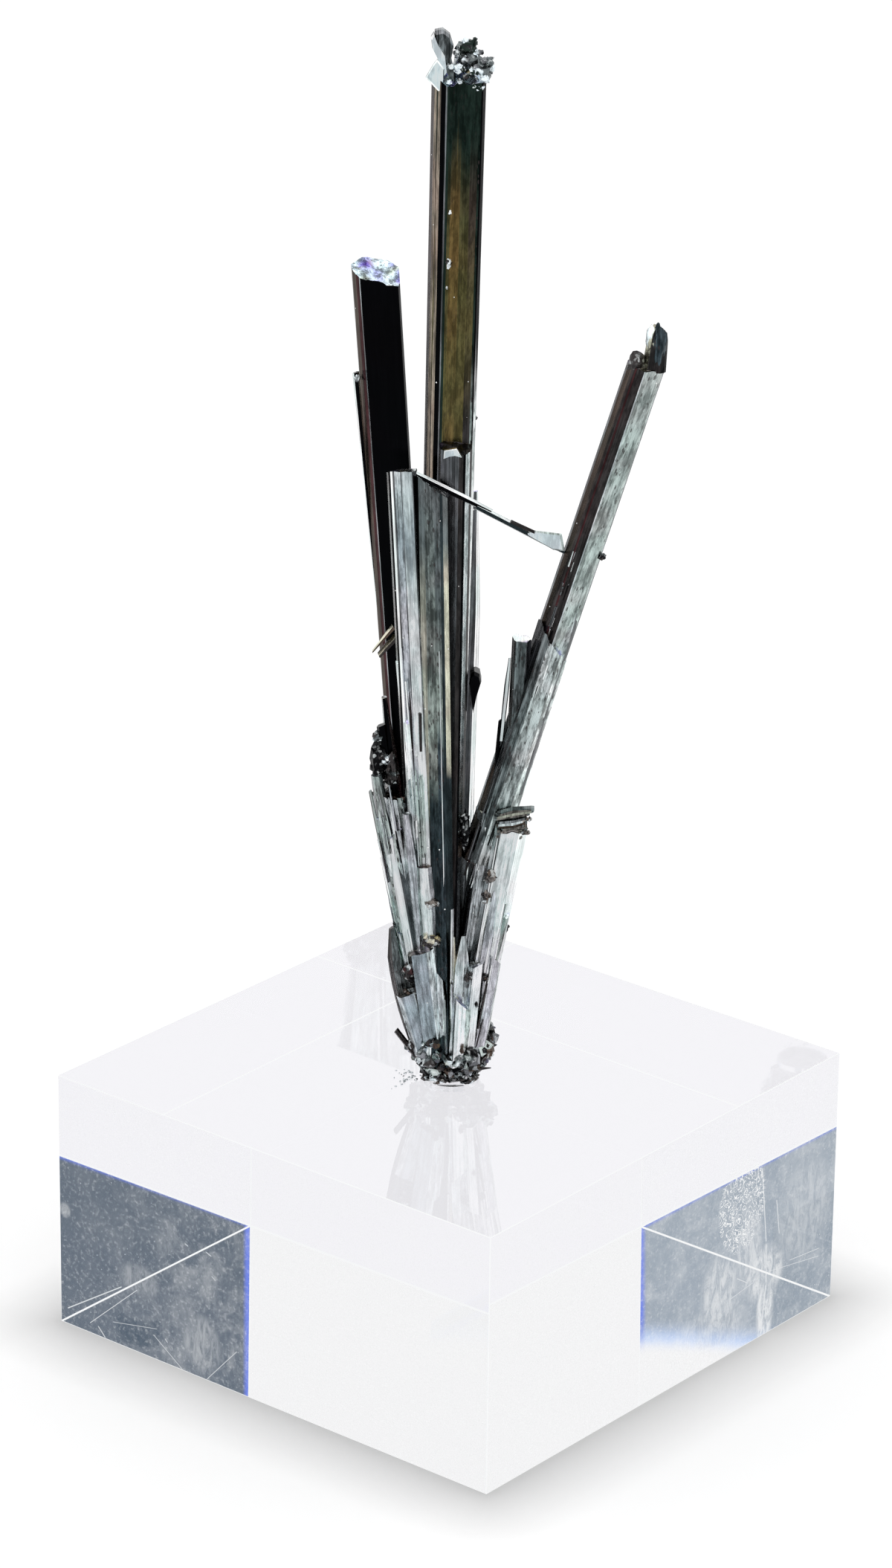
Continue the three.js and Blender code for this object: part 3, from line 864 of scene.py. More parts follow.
def stibnite_material():
    """Lead-grey metal with streaks along each crystal, cloudy tarnish and specks of dust."""
    material, n, shader = new_material("stibnite")
    tint = n.attribute("tint", "Color")
    rough, mottle, streak = n.split(n.attribute("surface", "Vector"))
    grain = n.new("UVMap", uv_map="grain").outputs["UV"]
    place = n.place()

    def along(across_scale, along_scale, *settings):
        """Noise drawn out along the crystal."""
        return n.noise(n.scaled(grain, (across_scale, along_scale, 1.0)), 1.0, *settings)

    fine, broad = along(8.0, 0.13, 3.0, 0.6), along(2.4, 0.06, 2.0)
    cloud, patch = along(4.2, 1.3, 5.0, 0.7, 0.3), along(1.5, 0.36, 3.0, 0.6)
    scratch = along(26.0, 1.1, 2.0)
    hue = n.noise(place, 240.0, 2.0)

    lines = n.ramp(n.add(n.mul(fine, 0.6), n.mul(broad, 0.4)), 0.41, 0.59, -1.0, 0.7)
    clouds = n.ramp(n.add(n.mul(cloud, 0.35), n.mul(patch, 0.65)), 0.41, 0.60, -1.0, 0.7)
    shade = n.mul(n.line(lines, n.mul(streak, 0.7), 1.0), n.line(clouds, n.mul(mottle, 0.7), 1.0))
    cool = n.mix(n.ramp(hue, 0.40, 0.60), tint, COOL, "MULTIPLY")
    warm = n.mix(n.ramp(hue, 0.50, 0.34), cool, WARM, "MULTIPLY")
    colour = n.mix(1.0, warm, n.joined(shade, shade, shade), "MULTIPLY")

    pits = dust(n, n.scaled(grain, (6.0, 2.2, 1.0)), 1.0, 0.22, 0.55)
    pits = n.mul(pits, n.ramp(mottle, 0.5, 0.8))
    specks = dust(n, place, 2400.0, 0.035, 0.17)
    worn = n.line(n.ramp(cloud, 0.35, 0.7), 0.16, n.sub(rough, 0.06))
    height = n.add(n.mul(scratch, 0.5), n.mul(cloud, 0.5))
    n.set(shader, {
        "Base Color": n.mix(specks, n.mix(n.mul(pits, 0.8), colour, PIT), SPECK),
        "Metallic": n.sub(1.0, specks),
        "Roughness": n.most(worn, n.mul(specks, 0.7)),
        "Normal": n.bump(height, 0.03 * MM, 0.5),
    })
    return material


def crust_material():
    """Small broken grains, with painted glints on some of them and painted black shade in cloudy
    patches.
    """
    material, n, shader = new_material("crust")
    place = n.place()
    cells = n.cells(place, 3400.0)
    pick = n.new("SeparateColor", {0: cells["Color"]}).outputs
    cloud = n.noise(place, 1500.0, 4.0, 0.7, 0.8)
    # Painted glints on some cells, and painted black shade where the cloud is low.
    bright = n.mix(n.ramp(pick[0], 0.70, 1.0, 0.0, 0.55), n.attribute("tint", "Color"), PAINTED_GLINT)
    n.set(shader, {
        "Base Color": n.mix(n.ramp(cloud, 0.48, 0.34), bright, PAINTED_BLACK_SHADE),
        "Metallic": 0.9,
        "Roughness": n.line(pick[2], 0.30, 0.08),
        "Normal": n.bump(n.line(cells["Distance"], -0.5, cloud), 0.09 * MM, 0.7),
    })
    return material


STIBNITE = stibnite_material()
CRUST = crust_material()

# ---- the crystals

# Sections of the main prisms: each corner's place across and back, from the left round the near
# side, and the finish of the facet that follows it.
TALL = [
    (-2.36, 0.5, DARK_RED), (-2.1, -0.6, TAUPE), (-1.86, -0.9, COAL), (-1.78, -0.96, TAUPE),
    (-1.52, -1.15, PAINTED_BLACK), (-1.1, -1.35, STEEL), (-0.97, -1.44, GREEN_BLACK), (-0.75, -1.55, OLIVE),
    (-0.5, -1.6, UMBER), (0.35, -1.72, OLIVE), (1.15, -1.8, COAL), (1.78, -1.74, GREEN_GREY),
    (1.96, -1.68, PAINTED_BLACK), (2.1, -1.62, LAVENDER), (2.34, -1.2, PAINTED_BLACK), (2.36, 0.6, SILVER),
    (1.3, 1.8, GREY), (-0.6, 1.95, SLATE), (-1.9, 1.3, LEAD),
]
LEFT = [
    (-2.12, 0.6, PAINTED_HIGHLIGHT), (-2.04, -0.4, BROWN), (-1.72, -0.95, DARK_RED), (-1.45, -1.25, GREY),
    (-1.36, -1.4, PAINTED_BLACK), (1.95, -1.75, PAINTED_BLACK), (2.1, -1.3, PAINTED_BLACK), (2.05, 0.7, GREY), (1.3, 1.5, SLATE),
    (0, 1.9, LEAD), (-1.4, 1.5, SILVER),
]
RIGHT = [
    (-1.64, 0.35, GREY), (-1.55, -0.25, BROWN), (-1.2, -0.95, COAL), (-0.95, -1.1, DARK_RED),
    (-0.8, -1.2, COAL), (-0.15, -1.4, SILVER), (-0.05, -1.38, SAGE), (1.25, -0.85, SAGE),
    (1.5, -0.5, LEAD), (1.66, 0, GREY), (1.2, 1.3, SLATE), (-0.6, 1.6, LEAD),
]
FORK = [
    (-1.75, 0.2, STEEL), (-1.05, -1.45, SLATE), (-0.4, -1.48, HOAR), (0.9, -1.38, HOAR),
    (1.75, -0.2, GREY), (1.5, 0.8, SLATE), (0.35, 1.45, GREY), (-1.2, 1.15, SLATE),
]
BRIGHT_BLADE = [
    (-1.32, 0.3, PAINTED_HIGHLIGHT), (-1.16, -0.6, PAINTED_BLACK), (-0.98, -0.78, PAINTED_HIGHLIGHT), (-0.78, -1, STEEL),
    (-0.62, -1.08, LAVENDER), (-0.08, -1.23, STEEL), (-0.01, -1.25, PAINTED_BLUE_HIGHLIGHT), (0.9, -1.33, STEEL),
    (0.98, -1.32, GREEN_GREY), (1.3, -0.8, PAINTED_BLACK), (1.35, 0.7, GREY), (0, 1.3, LEAD),
]
DARK_BLADE = [
    (-1.42, 0.2, PAINTED_BLACK), (-1.3, -1.05, PAINTED_BLACK), (-1.12, -1.25, TAN), (-0.62, -1.35, MOSS),
    (0.2, -1.42, DUSK), (0.72, -1.36, INK), (0.98, -1.2, CREAM), (1.4, -0.85, COAL),
    (1.4, 0.6, GREY), (0, 1.4, SLATE),
]
INNER = [
    (-1.45, 0.3, COAL), (-1.3, -0.8, STEEL), (0.3, -1.25, COAL), (0.7, -1.3, PAINTED_BLACK),
    (0.9, -1.25, SILVER), (1.25, -0.8, PAINTED_BLACK), (1.45, -0.2, PAINTED_HIGHLIGHT), (1.45, 0.5, GREY), (0, 1.3, SLATE),
]
# How some of those finishes change on the way from foot to tip: the shares of the length, in order,
# at which the facet has reached each finish.
TALL_BANDS = {
    OLIVE: ((0.84, OLIVE), (0.94, GREEN_BLACK)),
    UMBER: ((0, OLIVE), (0.6, UMBER), (0.68, OLIVE), (0.78, UMBER), (0.86, UMBER),
            (0.94, GREEN_BLACK)),
    COAL: ((0.66, COAL), (0.76, OLIVE), (0.86, BROWN), (0.94, GREEN_BLACK)),
    GREEN_GREY: ((0, SILVER), (0.62, GREEN_GREY), (0.74, GREEN_BLACK)),
    LAVENDER: ((0.66, PAINTED_HIGHLIGHT), (0.74, PAINTED_BLACK)),
}
BRIGHT_BLADE_BANDS = {
    LAVENDER: ((0.56, PAINTED_BLUE_HIGHLIGHT), (0.66, LAVENDER), (0.78, LAVENDER), (0.9, BLUE_GREY),
               (1, SILVER)),
    PAINTED_BLUE_HIGHLIGHT: ((0.78, PAINTED_BLUE_HIGHLIGHT), (0.88, BLUE_GREY), (0.96, SILVER)),
    STEEL: ((0.5, PAINTED_BLUE_HIGHLIGHT), (0.6, STEEL)),
    GREEN_GREY: ((0, PAINTED_BLUE_HIGHLIGHT), (0.5, SILVER), (0.8, BLUE_GREY), (0.9, STEEL)),
}
DARK_BLADE_BANDS = {
    TAN: ((0.42, INK), (0.47, TAN), (0.8, TAN), (0.88, SLATE)),
    MOSS: ((0.46, INK), (0.56, MOSS), (1, SLATE)),
    DUSK: ((0, INK), (0.55, DUSK), (0.62, MOSS), (0.8, SLATE)),
    CREAM: ((0.53, INK), (0.55, CREAM), (0.86, CREAM), (0.92, SLATE)),
}

# The crystals' feet are buried at this height.
CRUST_HEIGHT = 1.9


def grown(foot, tip, section, **more):
    """A crystal that starts no lower than in the crust at the bottom of the spray."""
    foot, tip = Vector(foot), Vector(tip)
    buried = max(0, (CRUST_HEIGHT - foot.z) / (tip.z - foot.z))
    return crystal(foot.lerp(tip, buried), tip, section, **more)


def prism(foot, tip, width, depth, front, seed, relief=0.05, end=LEAD, **more):
    """A crystal with a plain seven-sided section."""
    section = prism_section(width, depth, front)
    return grown(foot, tip, section, relief=relief, end=end, seed=seed, **more)


def main_crystals():
    """The long prisms, tallest first."""
    return [
        grown((-1.6, 1, 0.2), (-0.4, 4, 92.6), TALL, cut=(0.1, 0.25), jag=0.35, relief=0.02,
              bands=TALL_BANDS, end=BREAK, seed=1),
        grown((-2, 1, 0.2), (-7.5, 6.5, 74.2), LEFT, cut=(-0.22, 0.42), jag=0.26, relief=0.01,
              end=BREAK, seed=2, narrow=0.8),
        crystal((2.2, 0.2, 21.2), (16.15, -0.2, 68), RIGHT, cut=(0.1, 0.1), jag=0.12, relief=0.02,
                end=DARK_BREAK, seed=3, narrow=1),
        prism((0.4, 0.2, 0.6), (3.4, 0, 26), 3, 2.8, (STEEL, LEAD, LEAD), 4, relief=0.08, jag=0.4,
              strip=0.3, narrow=0.8),
        crystal((2.5, 0, 21.4), (8.5, -0.3, 42.6), FORK, cut=(-0.9, 0), jag=0.4, relief=0.09,
                strip=0.26, end=LEAD, seed=15, narrow=0.98),
        prism((5.5, -0.4, 28), (10.7, -0.5, 46.7), 1.3, 1.3, (HOAR, HOAR, STEEL), 14, relief=0.06,
              end=SILVER, cut=(1.2, 0), jag=0.3, strip=0.2, taper=0.5),
        grown((-1.8, -1.3, 0.4), (-5, -0.7, 58.3), BRIGHT_BLADE, cut=(0.05, -0.25), jag=0.12,
              relief=0.025, bands=BRIGHT_BLADE_BANDS, end=PAINTED_HIGHLIGHT, seed=5, narrow=0.9),
        grown((-0.9, -1.2, 0.4), (-2.4, -0.6, 56.9), DARK_BLADE, cut=(-0.78, -0.2), jag=0.1,
              relief=0.025, bands=DARK_BLADE_BANDS, end=SILVER, seed=6, narrow=0.95),
        grown((-0.5, 0, 0.4), (-0.3, 0.8, 60.1), INNER, cut=(-0.05, 0.3), jag=0.15, relief=0.02,
              end=COAL, seed=7, narrow=0.8),
        prism((0.3, 1.4, 0.4), (1.5, 4.6, 54.6), 1.5, 1.8, (PAINTED_HIGHLIGHT, STEEL, PAINTED_HIGHLIGHT), 8, end=PAINTED_HIGHLIGHT,
              strip=0.16, narrow=1.35, taper=0.7),
        lath((-0.7, -2.25, 14), (-1.52, -2.12, 42), 0.14, 0.2, PAINTED_HIGHLIGHT, seed=9, narrow=1),
    ]


def lower_crystals():
    """The shorter prisms fanned round the foot."""
    return [
        prism((1, -1.2, 0.6), (5.15, -2, 25.4), 2.9, 2.2, (SILVER, PAINTED_BLUE_HIGHLIGHT, PAINTED_HIGHLIGHT), 21,
              cut=(0.15, 0.25), jag=0.35, relief=0.04, end=DARK_BREAK, turn=-4),
        lath((1.6, -2.3, 9), (3.85, -2.9, 24.6), 0.22, 0.3, PAINTED_HIGHLIGHT, narrow=1, seed=38, side=COAL),
        prism((1.2, -1.5, 0.6), (3.7, -2.6, 19.4), 1.5, 1.2, (PAINTED_HIGHLIGHT, LAVENDER, LEAD), 22, taper=0.6,
              turn=10),
        prism((2, -0.7, 0.8), (4.5, -1, 19), 1.2, 1.4, (LEAD, PAINTED_BLUE_HIGHLIGHT, SILVER), 23, relief=0.06,
              cut=(-0.9, 0), taper=0.3),
        prism((0.3, -1.9, 0.7), (0.95, -2.9, 15.1), 1.4, 1, (CREAM, SILVER, LEAD), 24, relief=0.03,
              end=DARK_BREAK, taper=0.7, narrow=1.2, turn=-16),
        prism((1.3, -1.8, 0.7), (2.2, -2.8, 12.4), 1.5, 1.1, (SILVER, PAINTED_BLUE_HIGHLIGHT, STEEL), 25, relief=0.04,
              narrow=1, turn=14, cut=(0.6, 0)),
        prism((0.6, -2, 0.7), (0.9, -3, 8.6), 1.7, 1, (SILVER, PAINTED_BLUE_HIGHLIGHT, GREEN_GREY), 39, relief=0.03,
              narrow=1, turn=-6, cut=(-0.9, 0)),
        prism((2.1, -1.2, 0.7), (3.7, -2, 12.6), 1.5, 1.2, (SILVER, LAVENDER, GREEN_GREY), 34,
              narrow=0.9, turn=20, cut=(-0.8, 0)),
        prism((5.2, -0.6, 30), (5.75, -0.7, 42.8), 1.7, 1.4, (COAL, SLATE, STEEL), 26, relief=0.06,
              end=PAINTED_HIGHLIGHT, strip=0.2, cut=(0, 0.2)),
        lath((4.05, -0.5, 33), (4.72, -0.5, 40.9), 0.5, 0.4, PAINTED_HIGHLIGHT, seed=37, side=GREY, taper=0.6),
        lath((3.6, -0.5, 29.6), (3.95, -0.5, 35), 0.42, 0.4, PAINTED_BLACK, seed=40, cut=(0.8, 0)),
        prism((-1.5, -0.4, 0.6), (-5.9, -0.8, 27.6), 3, 1.8, (LEAD, SILVER, LEAD), 16, relief=0.1,
              end=BROWN, strip=0.3, cut=(-0.3, 0), jag=0.5, narrow=0.8),
        lath((-5.5, 0.4, 26), (-6.6, 0.4, 34), 1, 0.8, PAINTED_BLACK, seed=19, taper=0.1),
        prism((-1.7, -1, 0.6), (-7, -1.2, 29.8), 1.6, 1.6, (SILVER, GREEN_GREY, SLATE), 27,
              relief=0.07, taper=0.4),
        prism((-2, -0.1, 0.6), (-6.4, 0.9, 36.6), 1.2, 1.4, (PAINTED_HIGHLIGHT, PAINTED_BLACK, SILVER), 28, taper=0.6,
              strip=0.2),
        prism((-1.6, -1.3, 0.6), (-5.6, -2, 24.2), 1.4, 1.2, (GREEN_GREY, PAINTED_HIGHLIGHT, STEEL), 29,
              relief=0.07, taper=0.7, turn=-10),
        prism((-1.3, -1.6, 0.6), (-4.3, -2.2, 26.6), 1.5, 1, (SILVER, LAVENDER, SLATE), 30,
              relief=0.06, taper=0.5, turn=8),
        prism((-1.1, -1.7, 0.6), (-2.7, -2.4, 21.6), 1.7, 1, (GREEN_GREY, PAINTED_BLUE_HIGHLIGHT, LAVENDER), 35,
              relief=0.04, end=BROWN, taper=0.2, turn=4),
        prism((-1.3, -1.6, 0.6), (-2.9, -2.7, 13.4), 2.5, 1.2, (COAL, BLUE_GREY, LEAD), 31,
              relief=0.03, end=DARK_BREAK, narrow=0.9, cut=(0.2, 0), turn=-8),
        prism((-2, -1.4, 1), (-4, -2.4, 9.2), 2.1, 1.1, (LEAD, BLUE_GREY, LEAD), 36, relief=0.04,
              end=DARK_BREAK, narrow=0.8, cut=(0.1, 0), turn=6),
        prism((-2.3, -1, 1.2), (-5.5, -1.4, 15.2), 1.4, 1.5, (COAL, SLATE, GREEN_GREY), 32,
              relief=0.08, end=COAL, taper=0.6, narrow=0.9, turn=14, bend=-0.55),
        prism((-0.5, -1.8, 0.6), (-1.1, -2.5, 11), 1.1, 0.9, (SILVER, LEAD, PAINTED_BLACK), 33, relief=0.03,
              taper=0.2, cut=(-1.4, 0)),
    ]


def back_crystals():
    """The prisms on the far side, which lean back from the tall one."""
    def far(foot, tip, width, depth, front, seed, turn, relief=0.05, end=LEAD, **more):
        section = prism_section(width, depth, front, LEAD, GREY)
        return grown(foot, tip, section, turn=turn, relief=relief, end=end, seed=seed, **more)

    return [
        far((-1, 1.6, 0.5), (-3.4, 6.8, 46), 2.6, 2.2, (LEAD, COAL, SILVER), 41, 168, relief=0.04,
            cut=(0.3, 0), end=BREAK),
        far((0.9, 1.5, 0.5), (0.4, 7.4, 37), 2.2, 2, (SILVER, SLATE, LEAD), 42, 200,
            cut=(0, 0.4)),
        far((-1.7, 1.1, 0.5), (-5.4, 4.6, 28.6), 1.9, 1.8, (LEAD, GREY, SILVER), 43, 150,
            taper=0.4),
        far((1.6, 1.1, 0.5), (3.4, 5.2, 25.4), 2, 1.9, (SILVER, LEAD, COAL), 44, 215,
            cut=(-0.3, 0), end=DARK_BREAK),
        far((-0.4, 1.8, 0.5), (-1.6, 6.2, 22), 2.4, 1.8, (GREEN_GREY, LEAD, SILVER), 45, 184),
        far((0.8, 1.7, 0.5), (1.6, 4.9, 12.6), 2.4, 1.4, (LEAD, SILVER, LAVENDER), 46, 190,
            relief=0.04, end=DARK_BREAK, taper=0.2),
        far((-1.4, 1.5, 0.5), (-3.2, 4.2, 13.4), 2.2, 1.4, (SILVER, LAVENDER, LEAD), 47, 160,
            relief=0.04, taper=0.3),
    ]


def splinters_on(line, radius, part, angles, count, lengths, widths, finishes, seed, lean):
    """Splinters fused along a crystal's flank, between two angles about its axis.

    line is the axis, from foot to tip, and part the shares of it between which they start. Angle 0
    is across to the right and -90 faces the near side.
    """
    rng = random.Random(seed)
    foot, tip = (Vector(end) for end in line)
    across, back, along = axes_of(foot, tip)
    length = (tip - foot).length
    made = []
    for i in range(count):
        angle = math.radians(rng.uniform(*angles))
        out = across * math.cos(angle) + back * math.sin(angle)
        start = foot + along * (rng.uniform(*part) * length) + out * radius * rng.uniform(0.8, 1)
        reach = rng.uniform(*lengths)
        drift = Vector((rng.uniform(-1, 1), rng.uniform(-1, 1), 0)) * 0.02 * reach
        stop = start + along * reach + out * (lean * reach) + drift
        width = rng.uniform(*widths)
        made.append(lath(start, stop, width, width * rng.uniform(0.35, 0.6), rng.choice(finishes),
                         rng.uniform(0, 180), rng.uniform(0.5, 1), rng.uniform(0, 0.7),
                         (rng.uniform(-1, 1), 0), 100 * seed + i, rng.choice(finishes)))
    return made


def splinters():
    """The splinters on the flanks of the long prisms and round the foot."""
    bright = (SILVER, LAVENDER, LEAD, GREEN_GREY, PAINTED_HIGHLIGHT, PAINTED_BLUE_HIGHLIGHT, COAL)
    mixed = (SILVER, LEAD, COAL, SLATE, GREEN_GREY, PAINTED_HIGHLIGHT, PAINTED_BLUE_HIGHLIGHT, PAINTED_BLACK)
    dark = (COAL, STEEL, SLATE, PAINTED_HIGHLIGHT, PAINTED_BLACK, GREY)
    right = ((2.5, 0, 21.4), (8.5, -0.3, 42.6))
    fork = ((7, -0.2, 38), (10.9, -0.3, 51))
    blade = ((-1.5, -1.4, 0.4), (-5, -1, 58.2))
    left = ((-1.5, -0.6, 0.6), (-5.9, -1.1, 26.5))
    front = ((1, -1.2, 0.6), (5.15, -2, 25.4))
    middle = ((-0.5, -1, 0.6), (-1, -1.6, 22))
    behind = ((0, 1.5, 0.6), (-1, 4, 34))
    rows = (
        (right, 1.42, (-0.2, 0.95), (-180, -80), 150, (0.6, 2.6), (0.16, 0.42), mixed, 51, 0.03),
        (right, 1.45, (0.3, 0.9), (-80, 0), 40, (0.6, 2), (0.16, 0.36), bright, 59, 0.02),
        (right, 1.4, (0, 0.95), (10, 180), 36, (1.2, 5), (0.3, 0.9), mixed, 52, 0.03),
        (fork, 1.15, (0, 0.9), (-190, -100), 60, (0.5, 2.2), (0.12, 0.34), dark, 58, 0.02),
        (blade, 1.05, (0.15, 0.56), (-200, -60), 60, (3, 10), (0.2, 0.6), bright, 53, 0.02),
        (left, 1.25, (0.1, 0.92), (-215, 0), 120, (1.5, 6), (0.2, 0.6), bright, 54, 0.03),
        (front, 1.2, (0.08, 0.62), (-150, 60), 40, (2, 7), (0.2, 0.6), bright, 55, 0.015),
        (middle, 1.6, (0.1, 0.5), (-150, -40), 14, (3, 8), (0.25, 0.6), bright, 56, 0.02),
        (behind, 2.2, (0.1, 0.9), (15, 165), 60, (3, 10), (0.3, 0.9), mixed, 57, 0.03),
    )
    return [splinter for row in rows for splinter in splinters_on(*row)]


def needle_and_fragments():
    """The needle across the fork, its fin, and the broken tablets at the tips."""
    return [
        lath((-3.9, -0.9, 58.1), (2.9, -0.4, 54.5), 0.66, 0.5, PAINTED_BLACK, narrow=0.9, seed=61, side=PAINTED_HIGHLIGHT),
        lath((1.6, -0.5, 55), (9.4, 0, 50.7), 0.64, 0.5, INK, narrow=0.9, seed=62, side=PAINTED_HIGHLIGHT),
        lath((4.6, -0.4, 53.6), (6.9, -0.3, 52.5), 0.45, 0.4, COAL, seed=63),
        slab([(5.6, 52.6), (6.5, 52.75), (9.1, 52.45), (9.4, 50.9), (8.4, 51)], -0.45, 0.35, PAINTED_ICE_HIGHLIGHT,
             SAGE, 64),
        slab([(-0.7, 92.6), (-1.1, 94.1), (-0.9, 95.2), (-1.25, 96.3), (-1.85, 96.75),
              (-2.55, 96.6), (-2.4, 95.9), (-1.8, 94.2), (-1.9, 91.8), (-0.7, 91.8)], 3.2, 1.2,
             SLATE, GREY, 65),
        slab([(-1.35, 92.8), (-1.55, 94.5), (-2.25, 95.6), (-2.6, 96.5), (-2.87, 96.1),
              (-2.75, 95.2), (-2.2, 94.1), (-2.1, 91.8)], 3, 1, PAINTED_ICE_HIGHLIGHT, PAINTED_HIGHLIGHT, 66),
        slab([(-1.7, 90.9), (-1.68, 93.4), (-2.3, 94.2), (-2.6, 93.8), (-3.28, 92.6)], 2.9, 0.5,
             PAINTED_ICE_HIGHLIGHT, PAINTED_HIGHLIGHT, 78),
        slab([(-1.35, 59.4), (-1.3, 60.15), (-0.2, 60.35), (0.25, 59.55), (-0.3, 59.7),
              (-0.9, 59.6)], -0.75, 0.5, PAINTED_ICE_HIGHLIGHT, PAINTED_HIGHLIGHT, 79),
        prism((16.8, -0.4, 67.65), (17.2, -0.4, 71.6), 1.7, 1.3, (CREAM, COAL, PAINTED_BLACK), 67,
              relief=0.12, end=COAL, jag=0.45, narrow=1.25, taper=0.4, cut=(-0.3, 0), step=0.8),
        lump((16.6, -0.4, 70.6), 0.7, PAINTED_ICE_HIGHLIGHT, 74, (0.8, 0.8, 1.75), 3, 0.25, True),
        lump((16.6, -0.7, 70.3), 0.6, CREAM, 80, (0.6, 0.6, 1.5), 3, 0.35, True),
        lump((17.2, -0.75, 70), 0.9, DUSK, 75, (0.72, 0.7, 2.2), 3, 0.35, True),
        lump((15.3, -0.6, 68.5), 0.85, COAL, 68, (0.85, 0.9, 1.2)),
        lump((14.9, -0.4, 67.9), 0.55, COAL, 76, (0.9, 0.9, 1)),
        lath((-6.9, 4.4, 42), (-9.15, 5, 65.4), 0.62, 0.5, PAINTED_BLACK, narrow=0.3, taper=0, seed=69,
             side=PAINTED_HIGHLIGHT),
        lump((-9.05, 5, 64.9), 0.42, SILVER, 77, (0.8, 0.8, 1.2)),
        lath((-5.6, 2.5, 42.6), (-7.45, 2.45, 40.2), 0.9, 0.25, CREAM, narrow=1, taper=0.6, seed=70,
             turn=70, side=BROWN),
        lath((-5.4, 2.4, 41.7), (-6.9, 2.35, 39.9), 0.9, 0.2, CREAM, narrow=1, taper=0.3, seed=71,
             turn=50, side=COAL),
        slab([(1.15, 37.6), (1.25, 38.4), (1.6, 38.75), (2.1, 38.5), (2.25, 37.8), (1.85, 36.4),
              (1.55, 34.8), (1.35, 36.2)], 1.1, 2.3, PAINTED_BLACK, PAINTED_BLACK, 72, 0.05),
    ]


def grain(place, size, finish, seed, squash=(1, 1, 1), rough=0.9):
    """A small angular lump."""
    return lump(place, size, finish, seed, squash, 1, rough)


def cluster(place, size, squash, finishes, seed, count=9):
    """A knot of small angular grains that fills a squashed ball."""
    rng = random.Random(seed)
    made = [lump(place, 0.72 * size, finishes[0], seed, squash, 2, 0.5)]
    for i in range(count):
        way = Vector((rng.gauss(0, 1), rng.gauss(0, 1), rng.gauss(0, 1))).normalized()
        spot = Vector(place) + Vector(a * b for a, b in zip(way, squash)) * size * 0.62
        made.append(grain(spot, size * rng.uniform(0.25, 0.48), rng.choice(finishes), seed * 7 + i))
    return made


def clots():
    """Dark and brassy knots lodged between the crystals."""
    dark = (PAINTED_BLACK, COAL, BROWN, SLATE)
    rust = (COAL, BROWN, PAINTED_BLACK, DARK_RED, LEAD)
    brass = (COAL, BRASS, CREAM, PAINTED_BLACK, BRASS)
    stony = (DARK_BREAK, COAL, LEAD, BROWN)
    spots = [
        ((0.95, -0.9, 24.4), 0.85, (0.65, 0.6, 3.2), (PAINTED_BLACK, PAINTED_BLACK, COAL)),
        ((-6.85, 0.3, 30.7), 1.2, (0.8, 0.9, 2.3), (PAINTED_BLACK, COAL, PAINTED_BLACK)),
        ((-6.95, 0.3, 32.9), 0.6, (0.9, 0.8, 1), (SLATE, COAL, SILVER)),
        ((-6.1, -0.3, 30.9), 0.6, (0.6, 0.6, 1.2), (PAINTED_ICE_HIGHLIGHT, PAINTED_HIGHLIGHT, PAINTED_BLACK)),
        ((-5.6, -0.3, 30), 0.9, (0.7, 0.9, 2.4), (COAL, PAINTED_BLACK, SLATE)),
        ((-6.2, -0.3, 28.2), 0.85, (1, 0.8, 1), rust),
        ((-5.9, -0.9, 26.4), 0.8, (0.9, 0.7, 1.4), dark),
        ((-1.9, -2.6, 18.1), 0.62, (1.5, 0.7, 0.9), stony),
        ((-1.9, -2.7, 14.4), 0.85, (1.5, 0.7, 0.9), brass),
        ((-3.8, -2.3, 11), 0.95, (0.9, 0.7, 1.2), rust),
        ((-3.7, -2.6, 9.5), 0.6, (1.5, 0.6, 0.5), dark),
        ((1.5, -3, 11.2), 0.6, (1.2, 0.6, 0.8), (COAL, PAINTED_BLACK, BRASS)),
        ((2.9, -2.8, 10.9), 0.42, (1.2, 0.6, 0.9), dark),
        ((3.3, -2.9, 20.9), 0.75, (0.85, 0.6, 1.2), stony),
        ((2.9, -2.9, 18.9), 0.55, (0.8, 0.6, 1.5), stony),
        ((3.9, -2.2, 16.3), 0.35, (1, 1, 1.2), dark),
        ((4.7, -1.6, 15.4), 0.42, (0.9, 1, 1.5), dark),
        ((2.2, -3, 8.4), 0.25, (0.8, 0.8, 1.4), dark),
        ((12.65, -0.5, 50.5), 0.42, (1.2, 1, 0.8), dark),
        ((-1.1, 1.75, 76.4), 0.33, (0.9, 0.8, 1.8), (SILVER, COAL, PAINTED_HIGHLIGHT)),
        ((-1.05, 2, 80.9), 0.2, (0.9, 0.8, 1.2), (PAINTED_HIGHLIGHT, SILVER, COAL)),
        ((-1.25, 1.9, 74.2), 0.15, (0.9, 0.8, 1.2), (PAINTED_HIGHLIGHT, SILVER, COAL)),
        ((1.35, 2.9, 62), 0.3, (1.2, 1, 0.8), dark),
        ((-3, 4.4, 20), 0.9, (1, 0.8, 1.2), rust),
        ((2.2, 4, 16), 0.8, (1.1, 0.8, 1), brass),
    ]
    return [m for i, spot in enumerate(spots) for m in cluster(*spot, 300 + i)]


